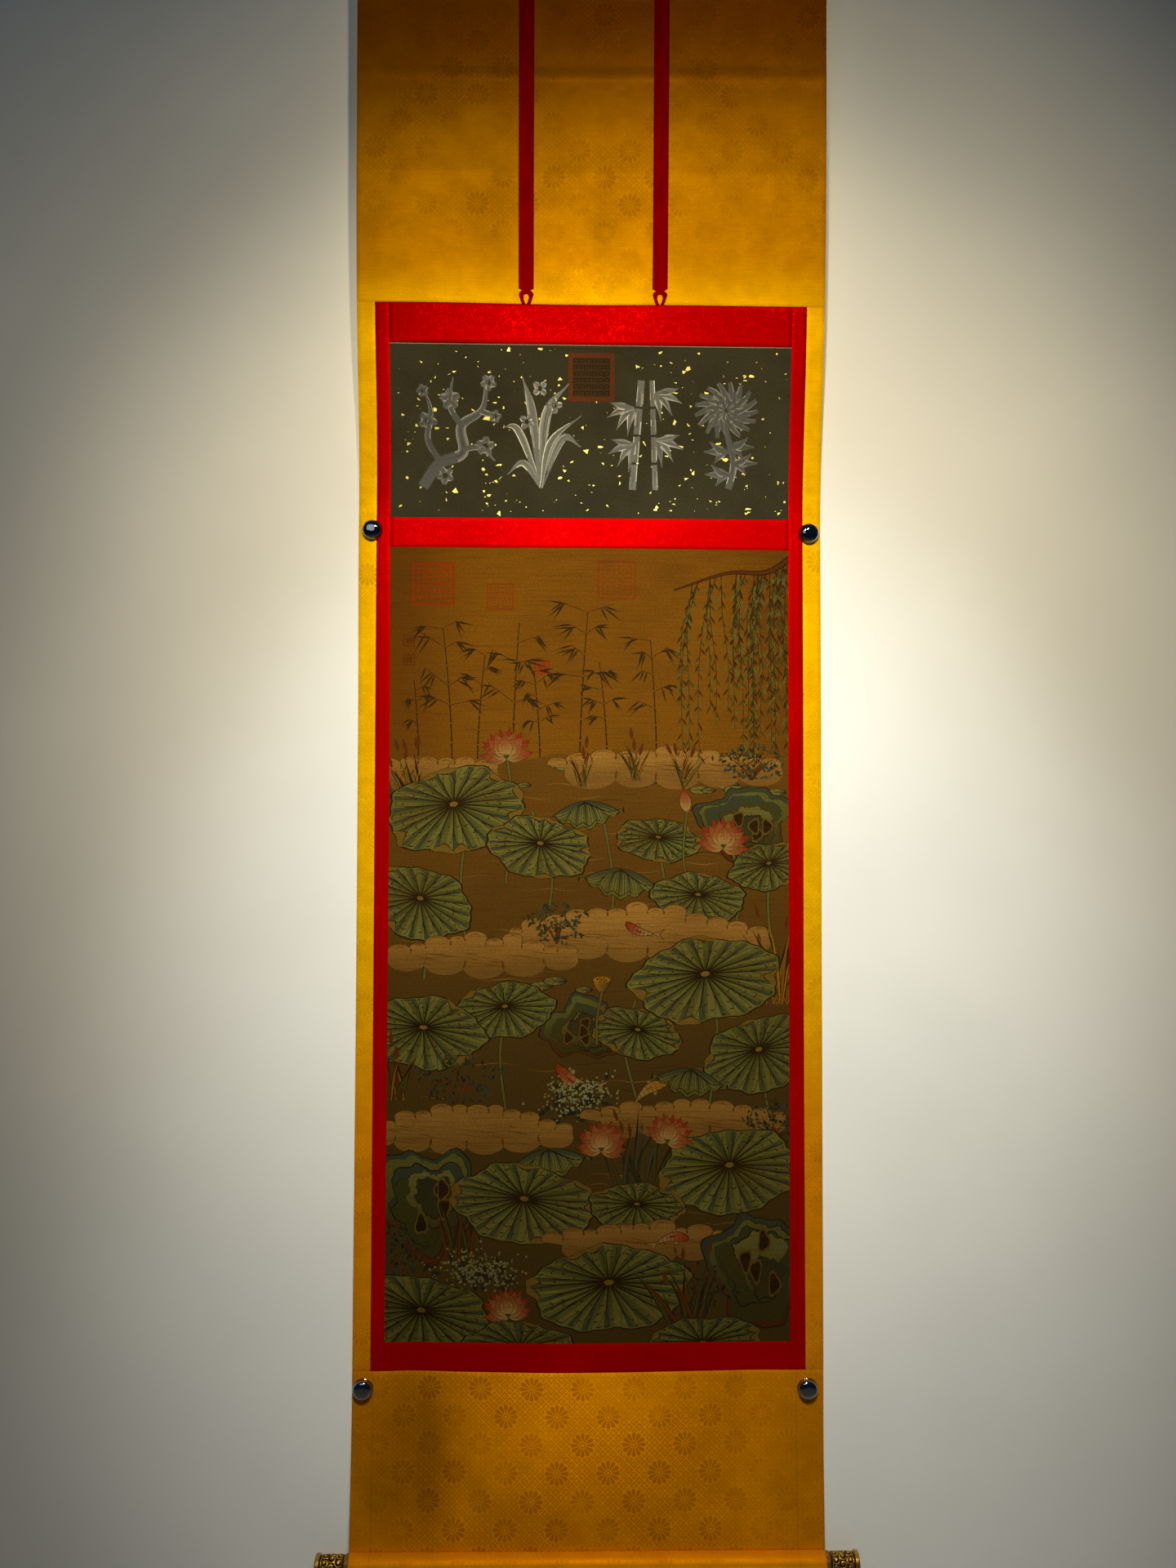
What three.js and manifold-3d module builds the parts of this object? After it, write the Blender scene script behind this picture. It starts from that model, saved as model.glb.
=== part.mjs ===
/*
 * A hanging scroll in the Chinese manner, held flat to a wall by four domed chrome pins.
 * Strips of silk meet edge to edge round a sheet of dark paper and a painted panel. Two red ribbons
 * lie down the head, and the foot runs into a wrapped roller with a carved gilt knob at each end.
 *
 * Millimetres, +Z up. X runs to the right of somebody who faces the scroll, and Y away from them.
 * The origin is the middle of the top edge, halfway through the thickness of the cloth.
 */
import * as THREE from "three";
import { mergeVertices } from "three/addons/utils/BufferGeometryUtils.js";
import Module from "manifold-3d";

const wasm = await Module();
wasm.setup();

// Thicknesses and clearances
const CLOTH_THICKNESS = 1.2;
const RIBBON_THICKNESS = 1;
const GAP = 0.3;

// Heights of the pieces down the middle, from the top edge
const HEAD_HEIGHT = 424.3;
const TOP_BAND_HEIGHT = 48.3;
const HEADING_HEIGHT = 211.2;
const MIDDLE_BAND_HEIGHT = 38.2;
const PAINTING_HEIGHT = 984;
const BOTTOM_BAND_HEIGHT = 35.2;
const FOOT_HEIGHT = 212.2;

// Widths of the sheet and of its upright strips
const SHEET_WIDTH = 580;
const SIDE_STRIP_WIDTH = 22;
const RED_STRIP_WIDTH_LEFT = 17.4;
const RED_STRIP_WIDTH_RIGHT = 18.5;

// Ribbons down the head, each set a little aslant
const RIBBON_WIDTH = 18.8;
const RIBBON_TOP_SETBACK = 1;
const RIBBONS = [
  { name: "ribbon_left", topX: -81.3, endX: -81.1 },
  { name: "ribbon_right", topX: 86.2, endX: 84.7 },
];

/*
 * Cut end of a ribbon, in heights above its lower edge and half widths. Two notches lie over round
 * shoulders and two legs, with a drop cut out between them. The handles pull the curved edges out.
 */
const CUT = {
  notchTop: 19.2,
  notch: { up: 16.4, half: 4.6 },
  upperHandle: { up: 14.4, half: 9.1 },
  shoulder: { up: 11.6, half: 9.1 },
  lowerHandle: { up: 7.6, half: 8.1 },
  legHalf: 5.2,
  drop: { mouth: 0.6, top: 12.3, lowHandle: { up: 4.8, half: 3.6 }, highHandle: { up: 12.3, half: 4.8 } },
};
const CURVE_SEGMENTS = 6;

// Roller, the ferrules at its ends, and its knobs
const ROLLER_RADIUS = 14.5;
const ROLLER_LENGTH = 579;
const FERRULE_RADIUS = 13.4;
const FERRULE_LENGTH = 2.9;
const KNOB_BODY_RADIUS = 12.2;
const KNOB_FLANGE_RADIUS = 13.8;
const KNOB_FLANGE_LENGTH = 6.2;
const KNOB_LENGTH = 37.4;

// Pins: the size of a head, how square its shoulder is (2 is an ellipse), and the place of each
const PIN_RADIUS = 12.8;
const PIN_HEIGHT = 10;
const PIN_FLANGE = 1.6;
const PIN_GROOVE_RADIUS = 12.1;
const PIN_SHOULDER = 2.8;
const PINS = [
  { name: "pin_upper_left", x: -273.6, down: 700.5 },
  { name: "pin_upper_right", x: 275.1, down: 701.6 },
  { name: "pin_lower_left", x: -276.4, down: 1761.7 },
  { name: "pin_lower_right", x: 270.5, down: 1763.1 },
];

// A pin holds the cloth this far off the wall, flat inside one radius and freely past the other
const PINNED_OFF = 3;
const PINNED_RADIUS = 15;
const FREE_RADIUS = 60;

/*
 * How the cloth hangs. off is its distance from the wall down the middle of the scroll, and slope is
 * the change in off for each millimetre down. The top leans out from the wall, the pins draw the
 * cloth back to it, and the roller brings the foot out again.
 */
const HANG = [
  { down: 0, off: 50, slope: -0.035 },
  { down: 424, off: 33, slope: -0.08 },
  { down: 684, off: 3, slope: 0 },
  { down: 718, off: 3, slope: 0 },
  { down: 1060, off: 1, slope: 0 },
  { down: 1400, off: 1.4, slope: 0 },
  { down: 1744, off: 3, slope: 0 },
  { down: 1780, off: 3, slope: 0 },
  { down: 1990, off: 14, slope: 0.05 },
];

// Set of the cloth from years on its roller: level ridges right across it
const ROLL_CREASES = [
  { down: 143, height: 1.1, spread: 9 },
  { down: 263.5, height: 0.9, spread: 9 },
];

/*
 * Soft ridges, with a height over 0, and troughs, with one under 0. Each runs along a line from one
 * place to another and dies away over its spread.
 */
const FOLDS = [
  { fromX: 190, fromDown: 60, toX: 120, toDown: 380, height: 1.6, spread: 80 },
  { fromX: -60, fromDown: 60, toX: -20, toDown: 400, height: -1.4, spread: 80 },
  { fromX: -250, fromDown: 330, toX: -170, toDown: 520, height: 2.2, spread: 90 },
  { fromX: 60, fromDown: 760, toX: 90, toDown: 1040, height: 1.6, spread: 110 },
  { fromX: -110, fromDown: 1080, toX: -40, toDown: 1450, height: 1.5, spread: 120 },
  { fromX: -20, fromDown: 1640, toX: 20, toDown: 1790, height: 4.2, spread: 120 },
  { fromX: -60, fromDown: 1790, toX: -45, toDown: 1900, height: 2.4, spread: 75 },
  { fromX: -217, fromDown: 1735, toX: -165, toDown: 1900, height: -2.4, spread: 36 },
  { fromX: 200, fromDown: 1760, toX: 165, toDown: 1890, height: -1.8, spread: 45 },
];

// The roller holds the cloth straight, so the folds die out over this height above it
const ROLLER_HOLD = 60;

// Grid of the cloth: its longest cell, its shortest, and the rows that a crease or a pin has of its own
const COLUMN_STEP = 36;
const ROW_STEP = 30;
const NEAREST_STATION = 5;
const CREASE_ROWS = [-9, 0, 9];
const PIN_ROWS = [-20, 20];

const GOLD_DAMASK = new THREE.MeshStandardMaterial({ color: 0xd99a1a, roughness: 0.55, metalness: 0 });
const RED_SILK = new THREE.MeshStandardMaterial({ color: 0xb3090b, roughness: 0.5, metalness: 0 });
const RIBBON_SILK = new THREE.MeshStandardMaterial({ color: 0x8f0509, roughness: 0.6, metalness: 0 });
const DARK_PAPER = new THREE.MeshStandardMaterial({ color: 0x4b4a35, roughness: 0.8, metalness: 0 });
const PAINTED_SILK = new THREE.MeshStandardMaterial({ color: 0x6c5a22, roughness: 0.75, metalness: 0 });
const GILT = new THREE.MeshStandardMaterial({ color: 0x8a6a2c, roughness: 0.38, metalness: 0.9 });
const PALE_GILT = new THREE.MeshStandardMaterial({ color: 0xcdb98a, roughness: 0.35, metalness: 0.7 });
const CHROME = new THREE.MeshStandardMaterial({ color: 0xdadcde, roughness: 0.06, metalness: 1 });

// Upright lines between the strips, by their place across the sheet
const HALF_WIDTH = SHEET_WIDTH / 2;
const UPRIGHT_X = {
  edgeL: -HALF_WIDTH,
  seamL: -HALF_WIDTH + SIDE_STRIP_WIDTH,
  innerL: -HALF_WIDTH + SIDE_STRIP_WIDTH + RED_STRIP_WIDTH_LEFT,
  innerR: HALF_WIDTH - SIDE_STRIP_WIDTH - RED_STRIP_WIDTH_RIGHT,
  seamR: HALF_WIDTH - SIDE_STRIP_WIDTH,
  edgeR: HALF_WIDTH,
};

/*
 * Drift of each upright line from its nominal place. The strips are cut and pasted by hand, so none
 * of the lines is quite straight.
 */
const DRIFT = [
  { down: 0, edgeL: 0, seamL: 0, innerL: 0, innerR: 0, seamR: 0, edgeR: 0 },
  { down: 264, edgeL: -0.1, seamL: 0, innerL: 0, innerR: 0, seamR: 0, edgeR: 0.5 },
  { down: 540, edgeL: 0, seamL: 0.6, innerL: 0.7, innerR: 0.2, seamR: 0, edgeR: 0.1 },
  { down: 700, edgeL: -0.6, seamL: -0.5, innerL: -0.6, innerR: 0, seamR: -0.6, edgeR: -0.3 },
  { down: 960, edgeL: 0.2, seamL: -0.5, innerL: 0.2, innerR: -0.3, seamR: 0, edgeR: 0.4 },
  { down: 1300, edgeL: 0.6, seamL: -0.2, innerL: 0.2, innerR: 0, seamR: -0.2, edgeR: 0.5 },
  { down: 1700, edgeL: 0.3, seamL: 0.2, innerL: -0.3, innerR: 0.2, seamR: 0.4, edgeR: 0.4 },
  { down: 1960, edgeL: -0.4, seamL: 0, innerL: 0, innerR: 0, seamR: 0, edgeR: -0.3 },
];

// Level joints, each with the drop of its left end, middle and right end below its nominal place
const HEADING_TOP_DOWN = HEAD_HEIGHT + TOP_BAND_HEIGHT;
const HEADING_FOOT_DOWN = HEADING_TOP_DOWN + HEADING_HEIGHT;
const PAINTING_TOP_DOWN = HEADING_FOOT_DOWN + MIDDLE_BAND_HEIGHT;
const PAINTING_FOOT_DOWN = PAINTING_TOP_DOWN + PAINTING_HEIGHT;
const FOOT_TOP_DOWN = PAINTING_FOOT_DOWN + BOTTOM_BAND_HEIGHT;
const TOP_EDGE = { down: 0, left: 0, middle: 0, right: 0 };
const HEAD_FOOT = { down: HEAD_HEIGHT, left: -0.7, middle: 0.1, right: 0.4 };
const HEADING_TOP = { down: HEADING_TOP_DOWN, left: -0.4, middle: -0.2, right: 1.2 };
const HEADING_FOOT = { down: HEADING_FOOT_DOWN, left: -0.2, middle: 0, right: 0.3 };
const PAINTING_TOP = { down: PAINTING_TOP_DOWN, left: -0.5, middle: -0.2, right: 1.4 };
const PAINTING_FOOT = { down: PAINTING_FOOT_DOWN, left: -0.8, middle: 0, right: 0.2 };
const FOOT_TOP = { down: FOOT_TOP_DOWN, left: -0.6, middle: 0.3, right: -0.4 };
const ROLLER_CREASE = { down: FOOT_TOP_DOWN + FOOT_HEIGHT };

// The roller lies against the wall, and the foot of the cloth meets it where the crease shows
const ROLLER_AXIS_OFF = ROLLER_RADIUS;
const ROLLER_AXIS_DOWN = ROLLER_CREASE.down + ROLLER_RADIUS;

/** The rows of a table above and below a place, and the share of the way from one to the other. */
function bracket(table, down) {
  const found = table.findIndex((row) => row.down > down);
  const next = found < 0 ? table.length - 1 : Math.max(found, 1);
  const above = table[next - 1];
  const below = table[next];
  return { above, below, share: (down - above.down) / (below.down - above.down) };
}

/** Distance of the middle of the cloth from the wall: a cubic between the rows of HANG. */
function hangOff(down) {
  const { above, below, share } = bracket(HANG, down);
  const span = below.down - above.down;
  const square = share * share;
  const cube = square * share;
  return above.off * (2 * cube - 3 * square + 1)
    + above.slope * span * (cube - 2 * square + share)
    + below.off * (3 * square - 2 * cube)
    + below.slope * span * (cube - square);
}

/** Height of a ridge that is one unit high, at a distance from its line. */
function ridge(distance, spread) {
  return Math.exp(-((distance / spread) ** 2));
}

/** Distance of a place on the cloth from the line of a fold. */
function distanceFromFold(fold, x, down) {
  const alongX = fold.toX - fold.fromX;
  const alongDown = fold.toDown - fold.fromDown;
  const reach = (x - fold.fromX) * alongX + (down - fold.fromDown) * alongDown;
  const share = THREE.MathUtils.clamp(reach / (alongX ** 2 + alongDown ** 2), 0, 1);
  return Math.hypot(x - fold.fromX - share * alongX, down - fold.fromDown - share * alongDown);
}

/** Height of the creases and folds together at one place on the cloth. */
function foldHeight(x, down) {
  let height = 0;
  for (const crease of ROLL_CREASES) {
    height += crease.height * ridge(down - crease.down, crease.spread);
  }
  for (const fold of FOLDS) {
    height += fold.height * ridge(distanceFromFold(fold, x, down), fold.spread);
  }
  const held = THREE.MathUtils.smoothstep(down, ROLLER_CREASE.down - ROLLER_HOLD, ROLLER_CREASE.down);
  return height * (1 - held);
}

/** Distance of the middle layer of the cloth from the wall, flat round each pin. */
function standOff(x, down) {
  let off = hangOff(down) + foldHeight(x, down);
  for (const pin of PINS) {
    const away = Math.hypot(x - pin.x, down - pin.down);
    const freed = THREE.MathUtils.smoothstep(away, PINNED_RADIUS, FREE_RADIUS);
    off = THREE.MathUtils.lerp(PINNED_OFF, off, freed);
  }
  return off;
}

/** Y of a place that stands off the wall, with the middle of the top edge at zero. */
function yOf(off) {
  return standOff(0, 0) - off;
}

/** The point of the cloth at x and down, moved out of its middle layer towards the viewer. */
function clothPoint(x, down, out) {
  const reach = 1;
  const slopeX = (standOff(x + reach, down) - standOff(x - reach, down)) / (2 * reach);
  const slopeDown = (standOff(x, down + reach) - standOff(x, down - reach)) / (2 * reach);
  const normal = new THREE.Vector3(-slopeX, -1, slopeDown).normalize();
  return new THREE.Vector3(x, yOf(standOff(x, down)), -down).addScaledVector(normal, out);
}

/** X of an upright line at a height. */
function uprightX(line, down) {
  const { above, below, share } = bracket(DRIFT, down);
  const eased = THREE.MathUtils.smoothstep(share, 0, 1);
  return UPRIGHT_X[line] + THREE.MathUtils.lerp(above[line], below[line], eased);
}

/** Drop of a level joint below its nominal place: a parabola through its ends and its middle. */
function levelDrop(level, x) {
  const share = x / HALF_WIDTH;
  const ends = (level.right + level.left) / 2;
  const tilt = (level.right - level.left) / 2;
  return ends + tilt * share + (level.middle - ends) * (1 - share * share);
}

/** Place at which the foot of the cloth touches the roller, a gap clear of it. */
function rollerTopDown(x) {
  const front = standOff(x, ROLLER_CREASE.down) + CLOTH_THICKNESS / 2;
  const reach = ROLLER_RADIUS + GAP;
  return ROLLER_AXIS_DOWN - Math.sqrt(reach ** 2 - (ROLLER_AXIS_OFF - front) ** 2);
}

/** Drop at the lower end of a piece, which either meets the next piece or the roller. */
function lowerDrop(level, x) {
  return level === ROLLER_CREASE ? rollerTopDown(x) - level.down : levelDrop(level, x);
}

/** The wanted stations with even ones from first to last, but none of those too near a wanted one. */
function stations(first, last, step, wanted) {
  const count = Math.ceil((last - first) / step);
  const places = [...wanted];
  for (let i = 0; i <= count; i += 1) {
    const even = first + ((last - first) * i) / count;
    if (wanted.every((place) => Math.abs(place - even) > NEAREST_STATION)) {
      places.push(even);
    }
  }
  return places.sort((a, b) => a - b);
}

/** The stations that lie between two ends, with the ends themselves. */
function between(places, start, end) {
  const isInside = (place) => place > start + NEAREST_STATION && place < end - NEAREST_STATION;
  return [start, ...places.filter(isInside), end];
}

// All the pieces share these stations, so that their edges match along each joint
const { edgeL, seamL, innerL, innerR, seamR, edgeR } = UPRIGHT_X;
const COLUMNS = stations(innerL, innerR, COLUMN_STEP, [edgeL, seamL, seamR, edgeR]);
const LEFT_PINS = PINS.filter((pin) => pin.x < 0);
const ROWS = stations(0, ROLLER_CREASE.down, ROW_STEP, [
  ...ROLL_CREASES.flatMap((crease) => CREASE_ROWS.map((offset) => crease.down + offset)),
  ...LEFT_PINS.flatMap((pin) => PIN_ROWS.map((offset) => pin.down + offset)),
]);

/** Closes a geometry: only positions are kept, and points in one place become one point. */
function closed(geometry) {
  geometry.deleteAttribute("normal");
  geometry.deleteAttribute("uv");
  return mergeVertices(geometry, 1e-4);
}

/** A box with a grid on its broad faces. place(column, row, side) sets each point, side 1 in front. */
function gridSolid(columns, rows, place) {
  const geometry = new THREE.BoxGeometry(1, 1, 1, columns, 1, rows);
  const position = geometry.getAttribute("position");
  for (let i = 0; i < position.count; i += 1) {
    const column = Math.round((position.getX(i) + 0.5) * columns);
    const row = Math.round((0.5 - position.getZ(i)) * rows);
    const point = place(column, row, -2 * position.getY(i));
    position.setXYZ(i, point.x, point.y, point.z);
  }
  return closed(geometry);
}

/** A piece of cloth between two upright lines and two levels, half a gap in from each joint. */
function clothPanel(left, right, top, bottom) {
  const leftGap = left === "edgeL" ? 0 : GAP / 2;
  const rightGap = right === "edgeR" ? 0 : GAP / 2;
  const start = top === TOP_EDGE ? 0 : top.down + GAP / 2;
  const end = bottom === ROLLER_CREASE ? bottom.down : bottom.down - GAP / 2;
  const rows = between(ROWS, start, end);
  const columns = between(COLUMNS, UPRIGHT_X[left], UPRIGHT_X[right]);
  return gridSolid(columns.length - 1, rows.length - 1, (column, row, side) => {
    const nominalX = columns[column];
    const across = (nominalX - UPRIGHT_X[left]) / (UPRIGHT_X[right] - UPRIGHT_X[left]);
    const along = (rows[row] - start) / (end - start);
    const drop = THREE.MathUtils.lerp(levelDrop(top, nominalX), lowerDrop(bottom, nominalX), along);
    const down = rows[row] + drop;
    const x = THREE.MathUtils.lerp(uprightX(left, down) + leftGap, uprightX(right, down) - rightGap, across);
    return clothPoint(x, down, (side * CLOTH_THICKNESS) / 2);
  });
}

/** A closed geometry as a manifold solid. */
function toManifold(geometry) {
  const mesh = new wasm.Mesh({
    numProp: 3,
    vertProperties: new Float32Array(geometry.getAttribute("position").array),
    triVerts: new Uint32Array(geometry.getIndex().array),
  });
  return new wasm.Manifold(mesh);
}

/** A manifold solid as a geometry. */
function toGeometry(manifold) {
  const mesh = manifold.getMesh();
  const geometry = new THREE.BufferGeometry();
  geometry.setAttribute("position", new THREE.BufferAttribute(new Float32Array(mesh.vertProperties), 3));
  geometry.setIndex(new THREE.BufferAttribute(new Uint32Array(mesh.triVerts), 1));
  return geometry;
}

/** Face of a ribbon with its notches, its two legs and the drop cut out between them. Y is up. */
function ribbonOutline(length) {
  const half = RIBBON_WIDTH / 2;
  const { notchTop, notch, upperHandle, shoulder, lowerHandle, legHalf, drop } = CUT;
  const { lowHandle, highHandle } = drop;
  const outline = new THREE.Shape();
  outline.moveTo(-half, length);
  outline.lineTo(-half, notchTop);
  outline.lineTo(-notch.half, notch.up);
  outline.quadraticCurveTo(-upperHandle.half, upperHandle.up, -shoulder.half, shoulder.up);
  outline.quadraticCurveTo(-lowerHandle.half, lowerHandle.up, -legHalf, 0);
  outline.lineTo(-drop.mouth, 0);
  outline.bezierCurveTo(-lowHandle.half, lowHandle.up, -highHandle.half, highHandle.up, 0, drop.top);
  outline.bezierCurveTo(highHandle.half, highHandle.up, lowHandle.half, lowHandle.up, drop.mouth, 0);
  outline.lineTo(legHalf, 0);
  outline.quadraticCurveTo(lowerHandle.half, lowerHandle.up, shoulder.half, shoulder.up);
  outline.quadraticCurveTo(upperHandle.half, upperHandle.up, notch.half, notch.up);
  outline.lineTo(half, notchTop);
  outline.lineTo(half, length);
  outline.closePath();
  return outline;
}

/** A ribbon that lies on the front of the head, cut to its outline. */
function ribbonSolid({ topX, endX }) {
  const length = HEAD_HEIGHT - RIBBON_TOP_SETBACK;
  const overlap = 2;
  const out = CLOTH_THICKNESS / 2 + GAP + RIBBON_THICKNESS / 2;
  const rows = between(ROWS, RIBBON_TOP_SETBACK, HEAD_HEIGHT);
  const strip = gridSolid(1, rows.length - 1, (column, row, side) => {
    const centre = THREE.MathUtils.lerp(topX, endX, rows[row] / HEAD_HEIGHT);
    const x = centre + (column - 0.5) * (RIBBON_WIDTH + overlap);
    return clothPoint(x, rows[row], out + (side * RIBBON_THICKNESS) / 2);
  });
  const depth = 2 * HANG[0].off;
  const cutter = new THREE.ExtrudeGeometry(ribbonOutline(length + overlap), {
    depth,
    bevelEnabled: false,
    curveSegments: CURVE_SEGMENTS,
  });
  const aslant = Math.atan2(endX - topX, HEAD_HEIGHT);
  cutter.translate(0, 0, -depth / 2);
  cutter.rotateX(Math.PI / 2);
  cutter.rotateY(-aslant);
  cutter.translate(endX, 0, -HEAD_HEIGHT);
  return toGeometry(toManifold(strip).intersect(toManifold(closed(cutter))));
}

/** A turned piece from the rows of its profile, each a radius and a place along its axis. */
function turned(profile, segments) {
  const points = profile.map(([radius, along]) => new THREE.Vector2(radius, along));
  return closed(new THREE.LatheGeometry(points, segments));
}

/** The wrapped roller, with its edges a little rounded. */
function rollerSolid() {
  const half = ROLLER_LENGTH / 2;
  const edge = 0.8;
  return turned([
    [0, -half],
    [ROLLER_RADIUS - edge, -half],
    [ROLLER_RADIUS, -half + edge],
    [ROLLER_RADIUS, half - edge],
    [ROLLER_RADIUS - edge, half],
    [0, half],
  ], 40);
}

/** The pale ring between the roller and a knob. */
function ferruleSolid() {
  const edge = 0.7;
  return turned([
    [0, 0],
    [FERRULE_RADIUS - edge, 0],
    [FERRULE_RADIUS, edge],
    [FERRULE_RADIUS, FERRULE_LENGTH - edge],
    [FERRULE_RADIUS - edge, FERRULE_LENGTH],
    [0, FERRULE_LENGTH],
  ], 28);
}

/** A knob: a barrel with a groove and a bead at its root, and a plain flange with a domed end. */
function knobSolid() {
  const flangeStart = KNOB_LENGTH - KNOB_FLANGE_LENGTH;
  const grooveRadius = KNOB_BODY_RADIUS - 1;
  return turned([
    [0, 0],
    [KNOB_BODY_RADIUS, 0],
    [KNOB_BODY_RADIUS + 0.5, 0.8],
    [KNOB_BODY_RADIUS, 1.6],
    [grooveRadius, 2.2],
    [KNOB_BODY_RADIUS - 0.3, 3.2],
    [KNOB_BODY_RADIUS, flangeStart / 2],
    [KNOB_BODY_RADIUS - 0.3, flangeStart - 1.8],
    [grooveRadius, flangeStart - 1],
    [grooveRadius, flangeStart],
    [KNOB_FLANGE_RADIUS - 0.7, flangeStart],
    [KNOB_FLANGE_RADIUS, flangeStart + 0.9],
    [KNOB_FLANGE_RADIUS, KNOB_LENGTH - 1.6],
    [KNOB_FLANGE_RADIUS - 1.4, KNOB_LENGTH - 0.5],
    [KNOB_FLANGE_RADIUS * 0.5, KNOB_LENGTH],
    [0, KNOB_LENGTH],
  ], 32);
}

/** The head of a pin: a thin flange, a groove above it and a low dome. Its back is at zero. */
function pinSolid() {
  const domeStart = PIN_FLANGE + 0.7;
  const domeHeight = PIN_HEIGHT - domeStart;
  const profile = [
    [0, 0],
    [PIN_RADIUS - 0.3, 0],
    [PIN_RADIUS, PIN_FLANGE / 2],
    [PIN_RADIUS - 0.3, PIN_FLANGE],
    [PIN_GROOVE_RADIUS, domeStart],
  ];
  const steps = 6;
  for (let i = 1; i <= steps; i += 1) {
    const angle = (i / steps) * (Math.PI / 2);
    const across = Math.cos(angle) ** (2 / PIN_SHOULDER);
    const up = Math.sin(angle) ** (2 / PIN_SHOULDER);
    profile.push([PIN_GROOVE_RADIUS * across, domeStart + domeHeight * up]);
  }
  profile[profile.length - 1][0] = 0;
  return turned(profile, 24);
}

/** A named mesh. */
function piece(name, geometry, material) {
  const mesh = new THREE.Mesh(geometry, material);
  mesh.name = name;
  return mesh;
}

// Name, material, left line, right line, top level and bottom level of each piece of the sheet
const SHEETS = [
  ["head_panel", GOLD_DAMASK, "edgeL", "edgeR", TOP_EDGE, HEAD_FOOT],
  ["side_strip_left", GOLD_DAMASK, "edgeL", "seamL", HEAD_FOOT, FOOT_TOP],
  ["side_strip_right", GOLD_DAMASK, "seamR", "edgeR", HEAD_FOOT, FOOT_TOP],
  ["red_strip_left", RED_SILK, "seamL", "innerL", HEAD_FOOT, FOOT_TOP],
  ["red_strip_right", RED_SILK, "innerR", "seamR", HEAD_FOOT, FOOT_TOP],
  ["red_band_top", RED_SILK, "innerL", "innerR", HEAD_FOOT, HEADING_TOP],
  ["heading_panel", DARK_PAPER, "innerL", "innerR", HEADING_TOP, HEADING_FOOT],
  ["red_band_middle", RED_SILK, "innerL", "innerR", HEADING_FOOT, PAINTING_TOP],
  ["painting_panel", PAINTED_SILK, "innerL", "innerR", PAINTING_TOP, PAINTING_FOOT],
  ["red_band_bottom", RED_SILK, "innerL", "innerR", PAINTING_FOOT, FOOT_TOP],
  ["foot_panel", GOLD_DAMASK, "edgeL", "edgeR", FOOT_TOP, ROLLER_CREASE],
];

const scroll = new THREE.Group();
for (const [name, material, ...edges] of SHEETS) {
  scroll.add(piece(name, clothPanel(...edges), material));
}
for (const ribbon of RIBBONS) {
  scroll.add(piece(ribbon.name, ribbonSolid(ribbon), RIBBON_SILK));
}

// The roller and what is on it lie along X, so each end group turns its pieces outwards
const rollerPlace = new THREE.Group();
rollerPlace.position.set(0, yOf(ROLLER_AXIS_OFF), -ROLLER_AXIS_DOWN);
scroll.add(rollerPlace);
const roller = piece("roller", rollerSolid(), GOLD_DAMASK);
roller.rotation.z = -Math.PI / 2;
rollerPlace.add(roller);
for (const [side, direction] of [["left", -1], ["right", 1]]) {
  const end = new THREE.Group();
  end.rotation.z = -direction * (Math.PI / 2);
  const ferrule = piece(`ferrule_${side}`, ferruleSolid(), PALE_GILT);
  ferrule.position.y = ROLLER_LENGTH / 2 + GAP;
  const knob = piece(`knob_${side}`, knobSolid(), GILT);
  knob.position.y = ferrule.position.y + FERRULE_LENGTH + GAP;
  end.add(ferrule, knob);
  rollerPlace.add(end);
}

for (const pin of PINS) {
  const mesh = piece(pin.name, pinSolid(), CHROME);
  mesh.rotation.x = Math.PI;
  mesh.position.set(pin.x, yOf(PINNED_OFF + CLOTH_THICKNESS / 2 + GAP), -pin.down);
  scroll.add(mesh);
}

export default scroll;
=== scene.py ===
"""Looks of a hanging scroll in the Chinese manner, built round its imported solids.

Metres, +Z up, the viewer on the -Y side and the wall on the +Y side. The origin is the middle of
the top edge. Tables in millimetres say so, and are turned into metres where a mesh is placed.
"""
import logging
import math
from dataclasses import dataclass, field
from enum import Enum
from typing import Iterable, Sequence

import bmesh
import bpy
import numpy as np
from mathutils import Matrix, Vector
from mathutils.geometry import delaunay_2d_cdt


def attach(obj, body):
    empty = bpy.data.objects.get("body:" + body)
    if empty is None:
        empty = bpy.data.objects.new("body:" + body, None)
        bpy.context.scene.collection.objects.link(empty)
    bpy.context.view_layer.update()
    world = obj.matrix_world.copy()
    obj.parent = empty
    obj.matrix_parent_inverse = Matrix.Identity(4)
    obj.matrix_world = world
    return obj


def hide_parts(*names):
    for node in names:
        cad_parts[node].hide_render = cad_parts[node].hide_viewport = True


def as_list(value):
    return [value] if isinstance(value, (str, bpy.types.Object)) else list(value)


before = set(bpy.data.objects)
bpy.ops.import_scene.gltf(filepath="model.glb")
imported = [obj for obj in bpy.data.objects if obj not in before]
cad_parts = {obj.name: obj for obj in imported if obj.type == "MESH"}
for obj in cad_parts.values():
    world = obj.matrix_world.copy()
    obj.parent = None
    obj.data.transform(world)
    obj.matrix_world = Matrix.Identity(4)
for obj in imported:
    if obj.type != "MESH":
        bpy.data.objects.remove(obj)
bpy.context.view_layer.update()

LOG = logging.getLogger("scroll")
MM = 0.001
BODY = "root"
TURN = 2 * math.pi
UV_MAP = "cut"
PAINT = "paint"
HOLLOW = "hollow"

Colour = tuple[float, float, float]
Points = np.ndarray
Socket = bpy.types.NodeSocket
Value = float | Socket


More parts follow.
